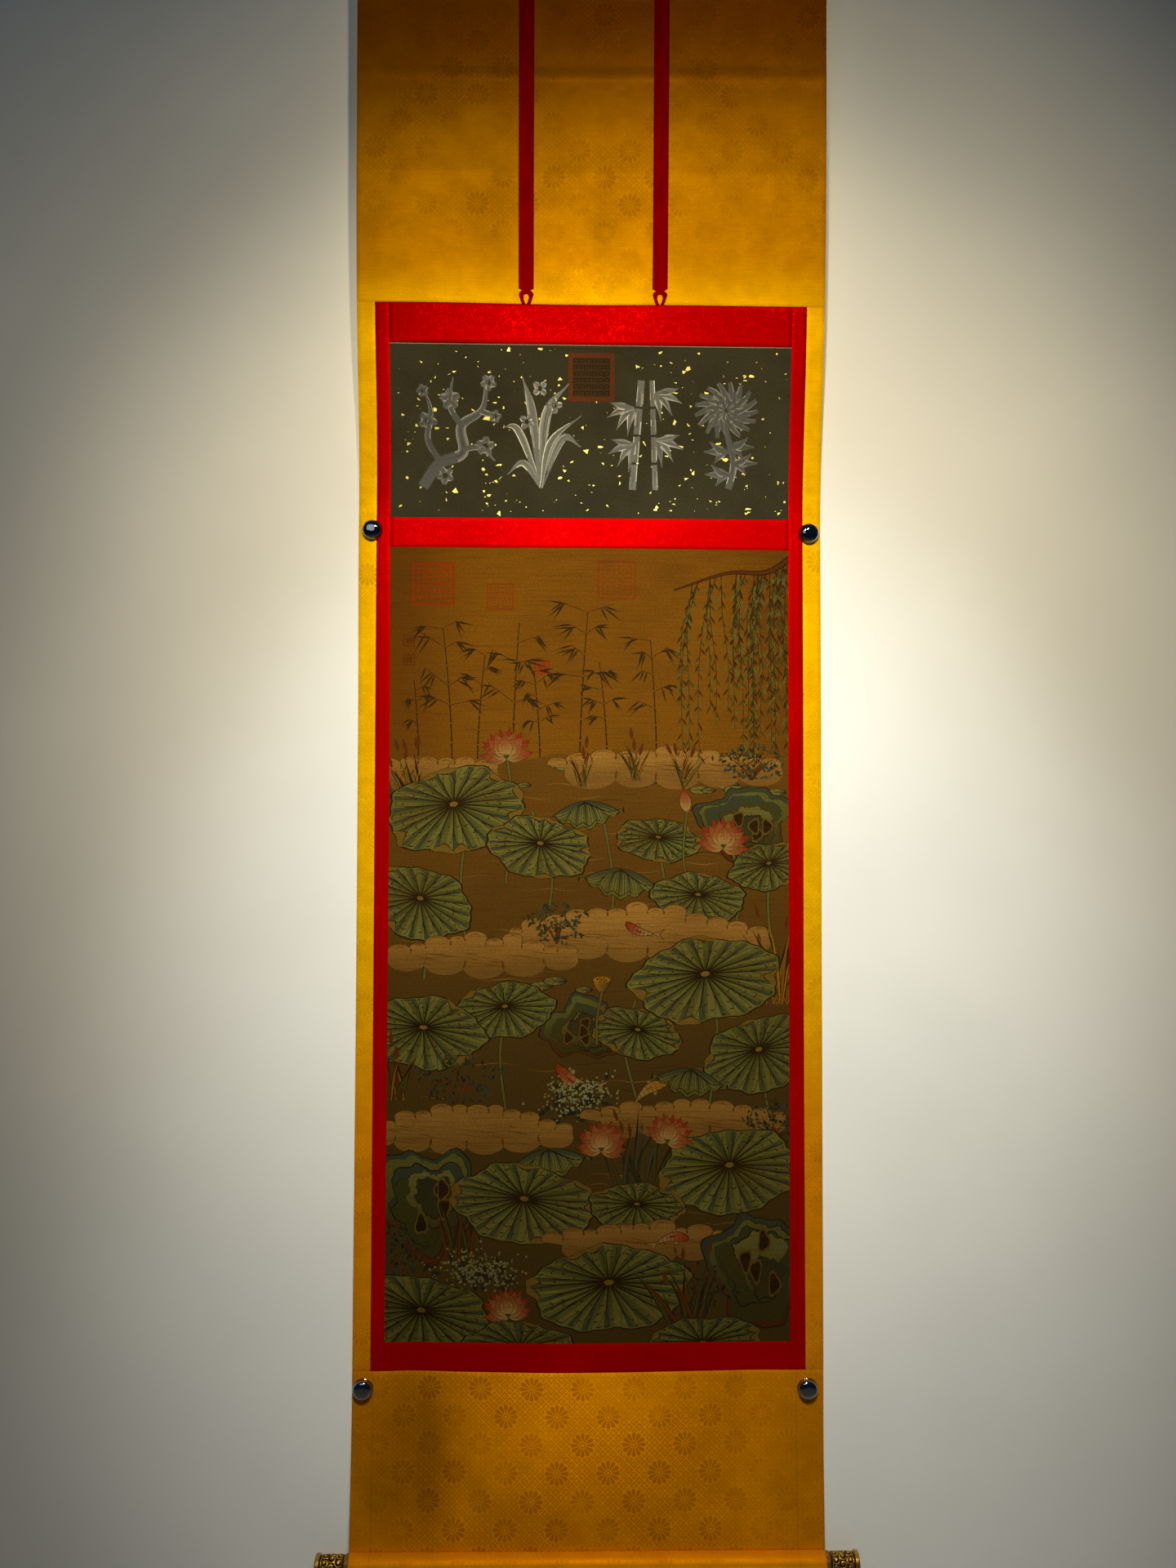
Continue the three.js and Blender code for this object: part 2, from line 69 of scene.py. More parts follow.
def srgb(red: float, green: float, blue: float) -> Colour:
    """Linear colour of a screen colour.

    Args:
        red: Red from 0 to 255.
        green: Green from 0 to 255.
        blue: Blue from 0 to 255.

    Returns:
        The three linear shares.
    """
    shares = np.array([red, green, blue]) / 255
    linear = np.where(shares <= 0.04045, shares / 12.92, ((shares + 0.055) / 1.055) ** 2.4)
    return tuple(float(share) for share in linear)


def smoothstep(value: Points, low: float, high: float) -> Points:
    """Share of the way from low to high, eased at both ends.

    Args:
        value: Places to ease.
        low: Place where the share is 0.
        high: Place where the share is 1.

    Returns:
        The shares.
    """
    share = np.clip((value - low) / (high - low), 0, 1)
    return share * share * (3 - 2 * share)


class Line(Enum):
    """Upright line between two strips of the sheet, by its place in the tables."""

    EDGE_LEFT = 0
    SEAM_LEFT = 1
    INNER_LEFT = 2
    INNER_RIGHT = 3
    SEAM_RIGHT = 4
    EDGE_RIGHT = 5


@dataclass(frozen=True)
class PinPlace:
    """Where a pin holds the cloth, in millimetres."""

    name: str
    x: float
    down: float


PIN_PLACES = (
    PinPlace("pin_upper_left", -273.6, 700.5),
    PinPlace("pin_upper_right", 275.1, 701.6),
    PinPlace("pin_lower_left", -276.4, 1761.7),
    PinPlace("pin_lower_right", 270.5, 1763.1),
)


@dataclass(frozen=True)
class Drape:
    """How the cloth hangs before the wall, in millimetres.

    hang has rows of down, off and slope. creases has rows of down, height and spread, and folds has
    rows of both ends' x and down, then height and spread.
    """

    hang: tuple = (
        (0, 50, -0.035), (424, 33, -0.08), (684, 3, 0), (718, 3, 0), (1060, 1, 0),
        (1400, 1.4, 0), (1744, 3, 0), (1780, 3, 0), (1990, 14, 0.05),
    )
    creases: tuple = ((143, 1.1, 9), (263.5, 0.9, 9))
    folds: tuple = (
        (190, 60, 120, 380, 1.6, 80), (-60, 60, -20, 400, -1.4, 80), (-250, 330, -170, 520, 2.2, 90),
        (60, 760, 90, 1040, 1.6, 110), (-110, 1080, -40, 1450, 1.5, 120), (-20, 1640, 20, 1790, 4.2, 120),
        (-60, 1790, -45, 1900, 2.4, 75), (-217, 1735, -165, 1900, -2.4, 36),
        (200, 1760, 165, 1890, -1.8, 45),
    )
    pins: tuple[PinPlace, ...] = PIN_PLACES
    pinned_off: float = 3.0
    pinned_radius: float = 15.0
    free_radius: float = 60.0
    crease_down: float = 1953.4
    roller_hold: float = 60.0
    cockle: float = 0.13

    def hang_off(self, down: Points) -> Points:
        """Distance of the middle of the cloth from the wall.

        Args:
            down: Distances below the top edge.

        Returns:
            A cubic between the rows of hang.
        """
        rows = np.array(self.hang, float)
        index = np.clip(np.searchsorted(rows[:, 0], down, side="right"), 1, len(rows) - 1)
        above, below = rows[index - 1], rows[index]
        span = below[..., 0] - above[..., 0]
        share = (down - above[..., 0]) / span
        square, cube = share**2, share**3
        return (
            above[..., 1] * (2 * cube - 3 * square + 1) + above[..., 2] * span * (cube - 2 * square + share)
            + below[..., 1] * (3 * square - 2 * cube) + below[..., 2] * span * (cube - square)
        )

    def relief(self, x: Points, down: Points) -> Points:
        """Height of the creases, folds and faint cockles over the plain hang.

        Args:
            x: Places across.
            down: Places down.

        Returns:
            Heights towards the viewer.
        """
        height = np.zeros(np.shape(x))
        for place, rise, spread in self.creases:
            height += rise * np.exp(-(((down - place) / spread) ** 2))
        for from_x, from_down, to_x, to_down, rise, spread in self.folds:
            run, fall = to_x - from_x, to_down - from_down
            share = np.clip(((x - from_x) * run + (down - from_down) * fall) / (run**2 + fall**2), 0, 1)
            away = np.hypot(x - from_x - share * run, down - from_down - share * fall)
            height += rise * np.exp(-((away / spread) ** 2))
        waves = np.sin(x / 31 + np.sin(down / 57) * 1.7) * np.sin(down / 43 + np.sin(x / 71) * 2.1)
        height += self.cockle * (waves + 0.6 * np.sin((x + 0.6 * down) / 19)
                                 * np.sin((down - 0.4 * x) / 83))
        return height * (1 - smoothstep(down, self.crease_down - self.roller_hold, self.crease_down))

    def stand_off(self, x: Points, down: Points) -> Points:
        """Distance of the middle layer from the wall, flat round each pin.

        Args:
            x: Places across.
            down: Places down.

        Returns:
            The distances.
        """
        off = self.hang_off(down) + self.relief(x, down)
        for pin in self.pins:
            freed = smoothstep(np.hypot(x - pin.x, down - pin.down), self.pinned_radius, self.free_radius)
            off = self.pinned_off + (off - self.pinned_off) * freed
        return off

    def y_of(self, off: Value) -> Value:
        """Y of a distance from the wall, in millimetres."""
        return float(self.stand_off(np.zeros(1), np.zeros(1))[0]) - off

    def hung(self, flat: Points) -> Points:
        """Places of the points of a flat cloth once it hangs.

        Args:
            flat: Points in metres, the cloth in the plane y = 0 with its front towards -Y.

        Returns:
            The points in metres on the hanging cloth.
        """
        x, out, down = flat[:, 0] / MM, -flat[:, 1] / MM, -flat[:, 2] / MM
        reach = 1.0
        slope_x = (self.stand_off(x + reach, down) - self.stand_off(x - reach, down)) / (2 * reach)
        slope_down = (self.stand_off(x, down + reach) - self.stand_off(x, down - reach)) / (2 * reach)
        normal = np.stack([-slope_x, -np.ones(len(x)), slope_down], axis=1)
        normal /= np.linalg.norm(normal, axis=1)[:, None]
        middle = np.stack([x, self.y_of(self.stand_off(x, down)), -down], axis=1)
        return (middle + normal * out[:, None]) * MM


@dataclass(frozen=True)
class Level:
    """Level joint of the sheet, with the drop of its left end, middle and right end, in millimetres."""

    down: float
    left: float = 0.0
    middle: float = 0.0
    right: float = 0.0

    def drop(self, x: Points, half_width: float) -> Points:
        """Drop of the joint below its nominal place.

        Args:
            x: Places across.
            half_width: Half the width of the sheet.

        Returns:
            A parabola through the ends and the middle.
        """
        share = x / half_width
        ends, tilt = (self.right + self.left) / 2, (self.right - self.left) / 2
        return ends + tilt * share + (self.middle - ends) * (1 - share**2)


@dataclass(frozen=True)
class Cut:
    """The part of the sheet that one piece covers."""

    left: Line
    right: Line
    top: Level
    bottom: Level


@dataclass(frozen=True)
class Pattern:
    """Joints of the whole sheet, in millimetres, and how a flat piece is fitted to them."""

    uprights: tuple = (-290.0, -268.0, -250.6, 249.5, 268.0, 290.0)
    drift: tuple = (
        (0, 0, 0, 0, 0, 0, 0), (264, -0.1, 0, 0, 0, 0, 0.5), (540, 0, 0.6, 0.7, 0.2, 0, 0.1),
        (700, -0.6, -0.5, -0.6, 0, -0.6, -0.3), (960, 0.2, -0.5, 0.2, -0.3, 0, 0.4),
        (1300, 0.6, -0.2, 0.2, 0, -0.2, 0.5), (1700, 0.3, 0.2, -0.3, 0.2, 0.4, 0.4),
        (1960, -0.4, 0, 0, 0, 0, -0.3),
    )
    top_edge: Level = Level(0)
    head_foot: Level = Level(424.3, -0.7, 0.1, 0.4)
    heading_top: Level = Level(472.6, -0.4, -0.2, 1.2)
    heading_foot: Level = Level(683.8, -0.2, 0, 0.3)
    painting_top: Level = Level(722.0, -0.5, -0.2, 1.4)
    painting_foot: Level = Level(1706.0, -0.8, 0, 0.2)
    foot_top: Level = Level(1741.2, -0.6, 0.3, -0.4)
    roller_crease: Level = Level(1954.2)
    seam: float = 0.04

    def upright_x(self, line: Line, down: Points) -> Points:
        """X of an upright line at some heights.

        Args:
            line: The upright line.
            down: Places down.

        Returns:
            The places across.
        """
        rows = np.array(self.drift, float)
        index = np.clip(np.searchsorted(rows[:, 0], down, side="right"), 1, len(rows) - 1)
        share = (down - rows[index - 1, 0]) / (rows[index, 0] - rows[index - 1, 0])
        eased = smoothstep(share, 0, 1)
        above, below = rows[index - 1, line.value + 1], rows[index, line.value + 1]
        return self.uprights[line.value] + above + (below - above) * eased

    def size(self, cut: Cut) -> tuple[float, float]:
        """Nominal width and length of a piece, in millimetres."""
        return self.uprights[cut.right.value] - self.uprights[cut.left.value], cut.bottom.down - cut.top.down

    def fitted(self, cut: Cut, flat: Points) -> Points:
        """Moves a nominal flat piece so that its sides follow the joints.

        Args:
            cut: The piece.
            flat: Points in metres in the plane of the flat cloth.

        Returns:
            The points, with x and z moved.
        """
        x, down = flat[:, 0] / MM, -flat[:, 2] / MM
        start, half = self.uprights[cut.left.value], self.uprights[Line.EDGE_RIGHT.value]
        width, length = self.size(cut)
        along = (down - cut.top.down) / length
        fallen = down + cut.top.drop(x, half) * (1 - along) + cut.bottom.drop(x, half) * along
        across = (x - start) / width
        left = self.upright_x(cut.left, fallen) + (0 if cut.left is Line.EDGE_LEFT else self.seam)
        right = self.upright_x(cut.right, fallen) - (0 if cut.right is Line.EDGE_RIGHT else self.seam)
        return np.stack([(left + (right - left) * across) * MM, flat[:, 1], -fallen * MM], axis=1)


class Bench:
    """Lays out the nodes of one material."""

    def __init__(self, name: str) -> None:
        """Starts a material with its usual shader.

        Args:
            name: Name of the material.
        """
        self.material = bpy.data.materials.new(name)
        self.material.use_nodes = True
        self.tree = self.material.node_tree
        self.shader = self.tree.nodes["Principled BSDF"]

    def give(self, socket: Socket, value: object) -> None:
        """Sets a socket, or links it where the value is a socket.

        Args:
            socket: Socket to fill.
            value: A number, a colour, a vector or a socket.
        """
        if isinstance(value, Socket):
            self.tree.links.new(value, socket)
        else:
            socket.default_value = value

    def node(self, kind: str, inputs: dict, output: int | str = 0, **settings: object) -> Socket:
        """Adds a node.

        Args:
            kind: Blender's name of the node type.
            inputs: Value of each input, by its name or place.
            output: The output that is wanted.
            **settings: Properties of the node.

        Returns:
            The wanted output socket.
        """
        node = self.tree.nodes.new(kind)
        for name, value in settings.items():
            setattr(node, name, value)
        for key, value in inputs.items():
            self.give(node.inputs[key], value)
        return node.outputs[output]

    def math(self, operation: str, *values: Value, clamp: bool = False) -> Socket:
        """One step of arithmetic on numbers."""
        return self.node("ShaderNodeMath", dict(enumerate(values)), operation=operation, use_clamp=clamp)

    def product(self, first: Value, second: Value) -> Socket:
        """Two numbers multiplied."""
        return self.math("MULTIPLY", first, second)

    def size_of(self, value: Value) -> Socket:
        """A number without its sign."""
        return self.math("ABSOLUTE", value)

    def distance(self, across: Socket, along: Socket) -> Socket:
        """Length of a way across and a way along."""
        return self.math("SQRT", self.math("ADD", self.product(across, across), self.product(along, along)))

    def cell(self, value: Value, half: float) -> Socket:
        """A number brought back into a cell that reaches as far to both sides."""
        return self.math("WRAP", value, half, -half)

    def part(self, vector: Socket, axis: int) -> Socket:
        """One part of a vector: 0 for x, 1 for y and 2 for z."""
        return self.node("ShaderNodeSeparateXYZ", {0: vector}, axis)

    def lit(self, colour: object, bright: Value) -> Socket:
        """A colour multiplied by a brightness."""
        grey = self.node("ShaderNodeCombineColor", {0: bright, 1: bright, 2: bright})
        return self.mix(1.0, colour, grey, "MULTIPLY")

    def soft(self, value: Value, low: float, high: float, start: float = 0.0, end: float = 1.0) -> Socket:
        """Eases a value from start to end while it goes from low to high.

        Args:
            value: The value to ease.
            low: Value at the start.
            high: Value at the end.
            start: Result below low.
            end: Result above high.

        Returns:
            The eased value.
        """
        inputs = {"Value": value, 1: low, 2: high, 3: start, 4: end}
        return self.node("ShaderNodeMapRange", inputs, interpolation_type="SMOOTHSTEP")

    def mix(self, share: Value, first: object, second: object, blend: str = "MIX") -> Socket:
        """Mixes two colours.

        Args:
            share: Share of the second.
            first: First colour or socket.
            second: Second colour or socket.
            blend: How they mix.

        Returns:
            The mixed colour.
        """
        pair = [(*c, 1.0) if isinstance(c, tuple) else c for c in (first, second)]
        inputs = {0: share, 6: pair[0], 7: pair[1]}
        return self.node("ShaderNodeMix", inputs, 2, data_type="RGBA", blend_type=blend)

    def noise(self, vector: Socket, scale: float, detail: float = 2.0, roughness: float = 0.5) -> Socket:
        """Even noise from 0 to 1, with a middle of a half.

        Args:
            vector: Coordinates to read.
            scale: Cells in each unit.
            detail: How many finer layers it has.
            roughness: How strong they are.

        Returns:
            The noise.
        """
        inputs = {"Vector": vector, "Scale": scale, "Detail": detail, "Roughness": roughness}
        return self.node("ShaderNodeTexNoise", inputs, 0)

    def stretched(self, vector: Socket, x: float, y: float, z: float = 1.0) -> Socket:
        """Coordinates multiplied along each axis."""
        return self.node("ShaderNodeVectorMath", {0: vector, 1: (x, y, z)}, operation="MULTIPLY")

    def cut_place(self) -> Socket:
        """Place on the flat cut, in metres, from the cloth's own UV map."""
        return self.node("ShaderNodeUVMap", {}, uv_map=UV_MAP)

    def object_place(self) -> Socket:
        """Place on the object, in metres."""
        return self.node("ShaderNodeTexCoord", {}, "Object")

    def attribute(self, name: str, output: str = "Color") -> Socket:
        """A colour or number that the mesh carries."""
        return self.node("ShaderNodeAttribute", {}, output, attribute_name=name)

    def bump(self, height: Socket, strength: float, distance: float, under: Socket | None = None) -> Socket:
        """Normals of a fine relief.

        Args:
            height: Height from 0 to 1.
            strength: Share of the relief that shows.
            distance: Height in metres of a step of one.
            under: Normals of a relief below this one.

        Returns:
            The normals.
        """
        inputs = {"Strength": strength, "Distance": distance, "Height": height}
        if under is not None:
            inputs["Normal"] = under
        return self.node("ShaderNodeBump", inputs)

    def finish(self, **sockets: object) -> bpy.types.Material:
        """Fills the shader.

        Args:
            **sockets: Value of each input of the shader, with a low line for each space in its name.

        Returns:
            The material.
        """
        for name, value in sockets.items():
            tinted = name in ("Base_Color", "Emission_Color") and isinstance(value, tuple)
            full = (*value, 1.0) if tinted else value
            self.give(self.shader.inputs[name.replace("_", " ")], full)
        return self.material


@dataclass(frozen=True)
class Weave:
    """Threads of a cloth: how many to the metre along and across, and how deep they lie in metres."""

    warp: float = 1400.0
    weft: float = 1000.0
    depth: float = 0.00006

    def relief(self, bench: Bench, place: Socket) -> Socket:
        """Height of the threads, from 0 to 1.

        Args:
            bench: Bench of the material.
            place: Coordinates in metres on the cloth.

        Returns:
            The height.
        """
        warp = bench.noise(bench.stretched(place, self.warp, self.weft * 0.12), 1.0, 1.0)
        weft = bench.noise(bench.stretched(place, self.warp * 0.1, self.weft), 1.0, 1.0)
        return bench.math("MULTIPLY_ADD", weft, 0.6, bench.product(warp, 0.4))


@dataclass(frozen=True)
class Sheen:
    """Broad place where the cloth turns to the light or away from it, in millimetres."""

    x: float
    down: float
    half_width: float
    half_height: float
    gain: float


@dataclass(frozen=True)
class GoldDamask:
    """Gold silk damask with twelve-petalled rosettes on a diagonal fret, in millimetres."""

    # top, upper, middle and low are painted light and shade by height: painted darker at the top, brightest
    # in the middle band and brighter again at the foot.
    top: Colour = srgb(144, 79, 0)
    upper: Colour = srgb(189, 126, 0)
    middle: Colour = srgb(238, 180, 0)
    low: Colour = srgb(221, 138, 0)
    # Painted reflection and shade: the deeper orange of the roller just below the crease.
    turn: Colour = srgb(206, 104, 0)
    # Share of the base colour in the darker tone, used for the pattern, the random mottle and the painted
    # shade of the pressed lines.
    shadow: float = 0.52
    column: float = 31.4
    row: float = 33.5
    petals: int = 12
    petal_reach: float = 12.2
    petal_tip: float = 2.6
    fret: float = 9.0
    foot_top: float = 1741.0
    crease: float = 1954.0
    pressed: tuple = (-264.4, 256.8)
    sheens: tuple[Sheen, ...] = (
        Sheen(-10, 1785, 150, 120, 0.56), Sheen(-240, 1830, 90, 120, -0.3),
        Sheen(-235, 1900, 60, 60, -0.16), Sheen(270, 1850, 60, 130, -0.16),
        Sheen(-60, 139, 190, 9, -0.2), Sheen(160, 137, 130, 11, -0.16), Sheen(0, 149, 290, 3, 0.12),
        Sheen(60, 250, 90, 90, 0.08), Sheen(-120, 300, 60, 110, -0.14), Sheen(-235, 262, 60, 70, 0.12),
        Sheen(20, 330, 24, 60, -0.1), Sheen(170, 320, 110, 40, -0.1), Sheen(-215, 1770, 36, 90, -0.14),
        Sheen(-190, 1850, 26, 100, -0.2), Sheen(0, 1966, 600, 3.2, 0.5), Sheen(0, 1951, 600, 3, 0.12),
    )
    weave: Weave = Weave()

    def rosettes(self, bench: Bench, x: Socket, y: Socket) -> tuple[Socket, Socket]:
        """Masks of the rosettes, which stand in rows that are half a space apart.

        Args:
            bench: Bench of the material.
            x: Place across in millimetres.
            y: Place along in millimetres.

        Returns:
            Two masks: 1 on the petals and 0 between them, and 1 outside the rosettes.
        """
        places = []
        for shift_x, shift_y in ((0.0, 0.0), (self.column, self.row)):
            across = bench.cell(bench.math("ADD", x, shift_x), self.column)
            along = bench.cell(bench.math("ADD", y, shift_y), self.row)
            away = bench.distance(across, along)
            places.append((across, along, away))
        nearer = bench.math("LESS_THAN", places[1][2], places[0][2])
        across, along, away = (
            bench.math("MULTIPLY_ADD", bench.math("SUBTRACT", second, first), nearer, first)
            for first, second in zip(*places)
        )
        share = bench.product(bench.math("ARCTAN2", along, across), self.petals / TURN)
        turn = bench.cell(share, 0.5)
        aside = bench.size_of(bench.product(bench.product(turn, away), TURN / self.petals))
        widening = bench.math("MULTIPLY_ADD", away, 0.238, -0.3)
        past = bench.math("MAXIMUM", bench.math("SUBTRACT", away, self.petal_reach), 0.0)
        tip = bench.math("SQRT", bench.math("SUBTRACT", self.petal_tip**2, bench.product(past, past)))
        width = bench.math("MINIMUM", widening,
                           bench.product(tip, bench.math("LESS_THAN", past, self.petal_tip)))
        petal = bench.soft(bench.math("SUBTRACT", aside, width), -0.3, 0.2, 1.0, 0.0)
        petal = bench.product(petal, bench.math("GREATER_THAN", away, 4.4))
        ring = bench.soft(bench.size_of(bench.math("SUBTRACT", away, 2.6)), 0.5, 0.9, 1.0, 0.0)
        return bench.math("MAXIMUM", petal, ring), bench.soft(away, 14.8, 16.2)

    def key_fret(self, bench: Bench, x: Socket, y: Socket) -> Socket:
        """Mask of the small diagonal fret between the rosettes.

        Args:
            bench: Bench of the material.
            x: Place across in millimetres.
            y: Place along in millimetres.

        Returns:
            1 on the lines of the fret.
        """
        half = self.fret / 2
        first = bench.cell(bench.product(bench.math("ADD", x, y), math.sqrt(0.5)), half)
        second = bench.cell(bench.product(bench.math("SUBTRACT", x, y), math.sqrt(0.5)), half)
        out = bench.math("MAXIMUM", bench.size_of(first), bench.size_of(second))
        rings = bench.soft(bench.math("COSINE", bench.product(out, TURN / (half * 0.62))), -0.25, 0.25)
        gate = bench.product(bench.soft(bench.size_of(first), 0.5, 0.8, 1.0, 0.0),
                             bench.math("GREATER_THAN", second, 0.0))
        return bench.size_of(bench.math("SUBTRACT", rings, gate))

    def sheen(self, bench: Bench, x: Socket, z: Socket) -> Socket:
        """Brightness of the broad sheen, 1 where the cloth hangs plain.

        Args:
            bench: Bench of the material.
            x: Place across in metres.
            z: Height in metres.

        Returns:
            The brightness.
        """
        total = 1.0
        for place in self.sheens:
            across = bench.math("MULTIPLY_ADD", x, 1 / (place.half_width * MM), -place.x / place.half_width)
            along = bench.math("MULTIPLY_ADD", z, 1 / (place.half_height * MM),
                               place.down / place.half_height)
            away = bench.distance(across, along)
            total = bench.math("ADD", total, bench.soft(away, 0.1, 1.3, place.gain, 0.0))
        return total

    def material(self) -> bpy.types.Material:
        """Gold damask on the cloth's own map."""
        bench = Bench("gold_damask")
        place = bench.cut_place()
        flat = bench.stretched(place, 1 / MM, 1 / MM)
        x, y = (bench.part(flat, axis) for axis in (0, 1))
        hung_x, hung_z = (bench.part(bench.object_place(), axis) for axis in (0, 2))
        rosette, outside = self.rosettes(bench, x, y)
        fret = bench.product(self.key_fret(bench, x, y), outside)
        cloudy = bench.noise(place, 9.0, 3.0)
        blotch = bench.noise(place, 30.0, 4.0, 0.6)
        slub = bench.noise(bench.stretched(place, 34.0, 700.0), 1.0, 3.0)
        grain = bench.noise(place, 900.0, 2.0, 0.7)
        # How strongly the pattern shows is painted sheen: strong in the foot, weaker away from its middle,
        # faint elsewhere and almost gone on the roller.
        in_foot = bench.soft(hung_z, -(self.foot_top + 12) * MM, -(self.foot_top - 12) * MM, 1.0, 0.0)
        faint, strong = bench.soft(cloudy, 0.42, 0.62, 0.1, 0.5), bench.soft(cloudy, 0.34, 0.56, 0.45, 0.95)
        off_centre = bench.size_of(bench.math("ADD", hung_x, 0.03))
        strong = bench.product(strong, bench.soft(off_centre, 0.13, 0.26, 1.0, 0.4))
        show = bench.node("ShaderNodeMix", {0: in_foot, 2: faint, 3: strong}, 0)
        on_roller = bench.soft(hung_z, -self.crease * MM, -(self.crease - 2) * MM, 1.0, 0.0)
        show = bench.product(show, bench.math("MULTIPLY_ADD", on_roller, -0.8, 1.0))
        # Painted light and shade: the base colour runs from the darker top through the bright middle to the
        # brighter foot.
        base = bench.mix(bench.soft(hung_z, -0.28, -0.06), self.upper, self.top)
        base = bench.mix(bench.soft(hung_z, -0.47, -0.36, 1.0, 0.0), base, self.middle)
        base = bench.mix(bench.soft(hung_z, -1.5, -1.16, 1.0, 0.0), base, self.low)
        deep = bench.mix(1.0, base, (self.shadow, self.shadow * 0.84, self.shadow), "MULTIPLY")
        # Painted sheen: in a band from about 0.3 m to 0.8 m down the pattern is drawn lighter than the
        # ground, elsewhere darker.
        turned = bench.product(bench.soft(hung_z, -0.39, -0.3, 1.0, 0.0), bench.soft(hung_z, -0.8, -0.5))
        drawn = bench.mix(turned, deep, bench.mix(1.0, base, (1.12, 1.22, 1.0), "MULTIPLY"))
        pattern = bench.math("MAXIMUM", rosette, bench.product(fret, 0.85))
        colour = bench.mix(bench.product(pattern, show), base, drawn)
        colour = bench.mix(bench.soft(blotch, 0.3, 0.7, 0.34, 0.0), colour, deep)
        colour = bench.mix(bench.soft(slub, 0.35, 0.7, 0.2, 0.0), colour, deep)
        # Painted shade along the two pressed lines in the foot.
        for line in self.pressed:
            aside = bench.size_of(bench.math("SUBTRACT", hung_x, line * MM))
            pressed_shade = bench.product(bench.soft(aside, 0.4 * MM, 1.4 * MM, 0.3, 0.0), in_foot)
            colour = bench.mix(pressed_shade, colour, deep)
        # Painted reflection and shade: an orange band on the roller just below the crease.
        below = bench.soft(hung_z, -(self.crease + 6) * MM, -(self.crease + 3) * MM)
        colour = bench.mix(bench.product(bench.product(on_roller, below), 0.35), colour, self.turn)
        bright = bench.product(self.sheen(bench, hung_x, hung_z), bench.soft(grain, 0.3, 0.7, 0.84, 1.14))
        colour = bench.lit(colour, bright)
        threads = self.weave.relief(bench, place)
        raised = bench.math("MULTIPLY_ADD", pattern, 0.7, bench.product(threads, 0.6))
        roughness = bench.math("MULTIPLY_ADD", pattern, 0.09, bench.soft(cloudy, 0.3, 0.7, 0.46, 0.56))
        return bench.finish(
            Base_Color=colour, Roughness=roughness, Metallic=0.22, Specular_IOR_Level=0.0,
            Normal=bench.bump(raised, 0.55, self.weave.depth),
        )


@dataclass(frozen=True)
class RedSilk:
    """Red silk damask with faint curling clouds, paler where the satin turns to the light."""

    ground: Colour = srgb(169, 0, 1)
    deep: Colour = srgb(133, 0, 1)
    curl: Colour = srgb(186, 2, 3)
    # Painted shade: share of the brightness left near the top.
    top_band_shade: float = 0.76
    weave: Weave = Weave(1500.0, 1100.0)

    def curls(self, bench: Bench, place: Socket) -> Socket:
        """Mask of the curls, which are rings broken by a slow drift of the cloth's pattern.

        Args:
            bench: Bench of the material.
            place: Coordinates in metres on the cloth.

        Returns:
            1 on the lines of the curls.
        """
        drift = bench.node("ShaderNodeTexNoise", {"Vector": place, "Scale": 70.0, "Detail": 1.0}, "Color")
        moved = bench.node("ShaderNodeVectorMath", {0: drift, 1: (0.010, 0.010, 0.0), 2: place},
                           operation="MULTIPLY_ADD")
        cells = bench.node("ShaderNodeTexVoronoi", {"Vector": moved, "Scale": 62.0}, "Distance")
        rings = bench.math("SINE", bench.product(cells, 30.0))
        broken = bench.soft(bench.noise(place, 120.0, 1.0), 0.46, 0.56)
        return bench.product(bench.soft(rings, 0.35, 0.85), broken)

    def material(self) -> bpy.types.Material:
        """Red damask on the cloth's own map."""
        bench = Bench("red_silk")
        place = bench.cut_place()
        curls = self.curls(bench, place)
        cloudy = bench.noise(place, 9.0, 3.0)
        slub = bench.noise(bench.stretched(place, 40.0, 1000.0), 1.0, 3.0)
        colour = bench.mix(bench.soft(cloudy, 0.35, 0.7, 0.35, 0.0), self.ground, self.deep)
        colour = bench.mix(bench.soft(slub, 0.35, 0.7, 0.22, 0.0), colour, self.deep)
        shown = bench.product(curls, bench.soft(cloudy, 0.4, 0.65, 0.15, 0.75))
        colour = bench.mix(shown, colour, self.curl)
        # Painted shade: the red is darker near the top, along the top band.
        height = bench.part(bench.object_place(), 2)
        bright = bench.soft(height, -0.5, -0.44, 1.0, self.top_band_shade)
        colour = bench.lit(colour, bright)
        threads = self.weave.relief(bench, place)
        raised = bench.math("MULTIPLY_ADD", curls, 0.6, bench.product(threads, 0.7))
        return bench.finish(
            Base_Color=colour, Roughness=bench.math("MULTIPLY_ADD", curls, -0.08, 0.48), Metallic=0.32,
            Specular_IOR_Level=0.0, Normal=bench.bump(raised, 0.5, self.weave.depth),
        )


@dataclass(frozen=True)
class RibbonSilk:
    """Deep red ribbon with a fine cross rib and firm selvedges."""

    ground: Colour = srgb(134, 0, 2)
    deep: Colour = srgb(106, 0, 1)
    rib: float = 5720.0
    half_width: float = 9.4

    def material(self) -> bpy.types.Material:
        """Ribbon silk, with the map's first axis measured from the ribbon's middle."""
        bench = Bench("ribbon_silk")
        place = bench.cut_place()
        aside = bench.size_of(bench.part(place, 0))
        selvedge = bench.soft(aside, (self.half_width - 1.5) * MM, (self.half_width - 0.9) * MM)
        along = bench.part(place, 1)
        ribs = bench.math("SINE", bench.product(along, self.rib))
        patchy = bench.noise(bench.stretched(place, 90.0, 26.0), 1.0, 3.0)
        colour = bench.mix(bench.soft(patchy, 0.3, 0.7, 0.7, 0.0), self.ground, self.deep)
        colour = bench.mix(bench.product(selvedge, 0.45), colour, self.deep)
        raised = bench.math("MULTIPLY_ADD", selvedge, 0.8, bench.product(ribs, 0.4))
        return bench.finish(
            Base_Color=colour, Roughness=0.62, Metallic=0.12, Specular_IOR_Level=0.0,
            Normal=bench.bump(raised, 0.5, 0.00012),
        )


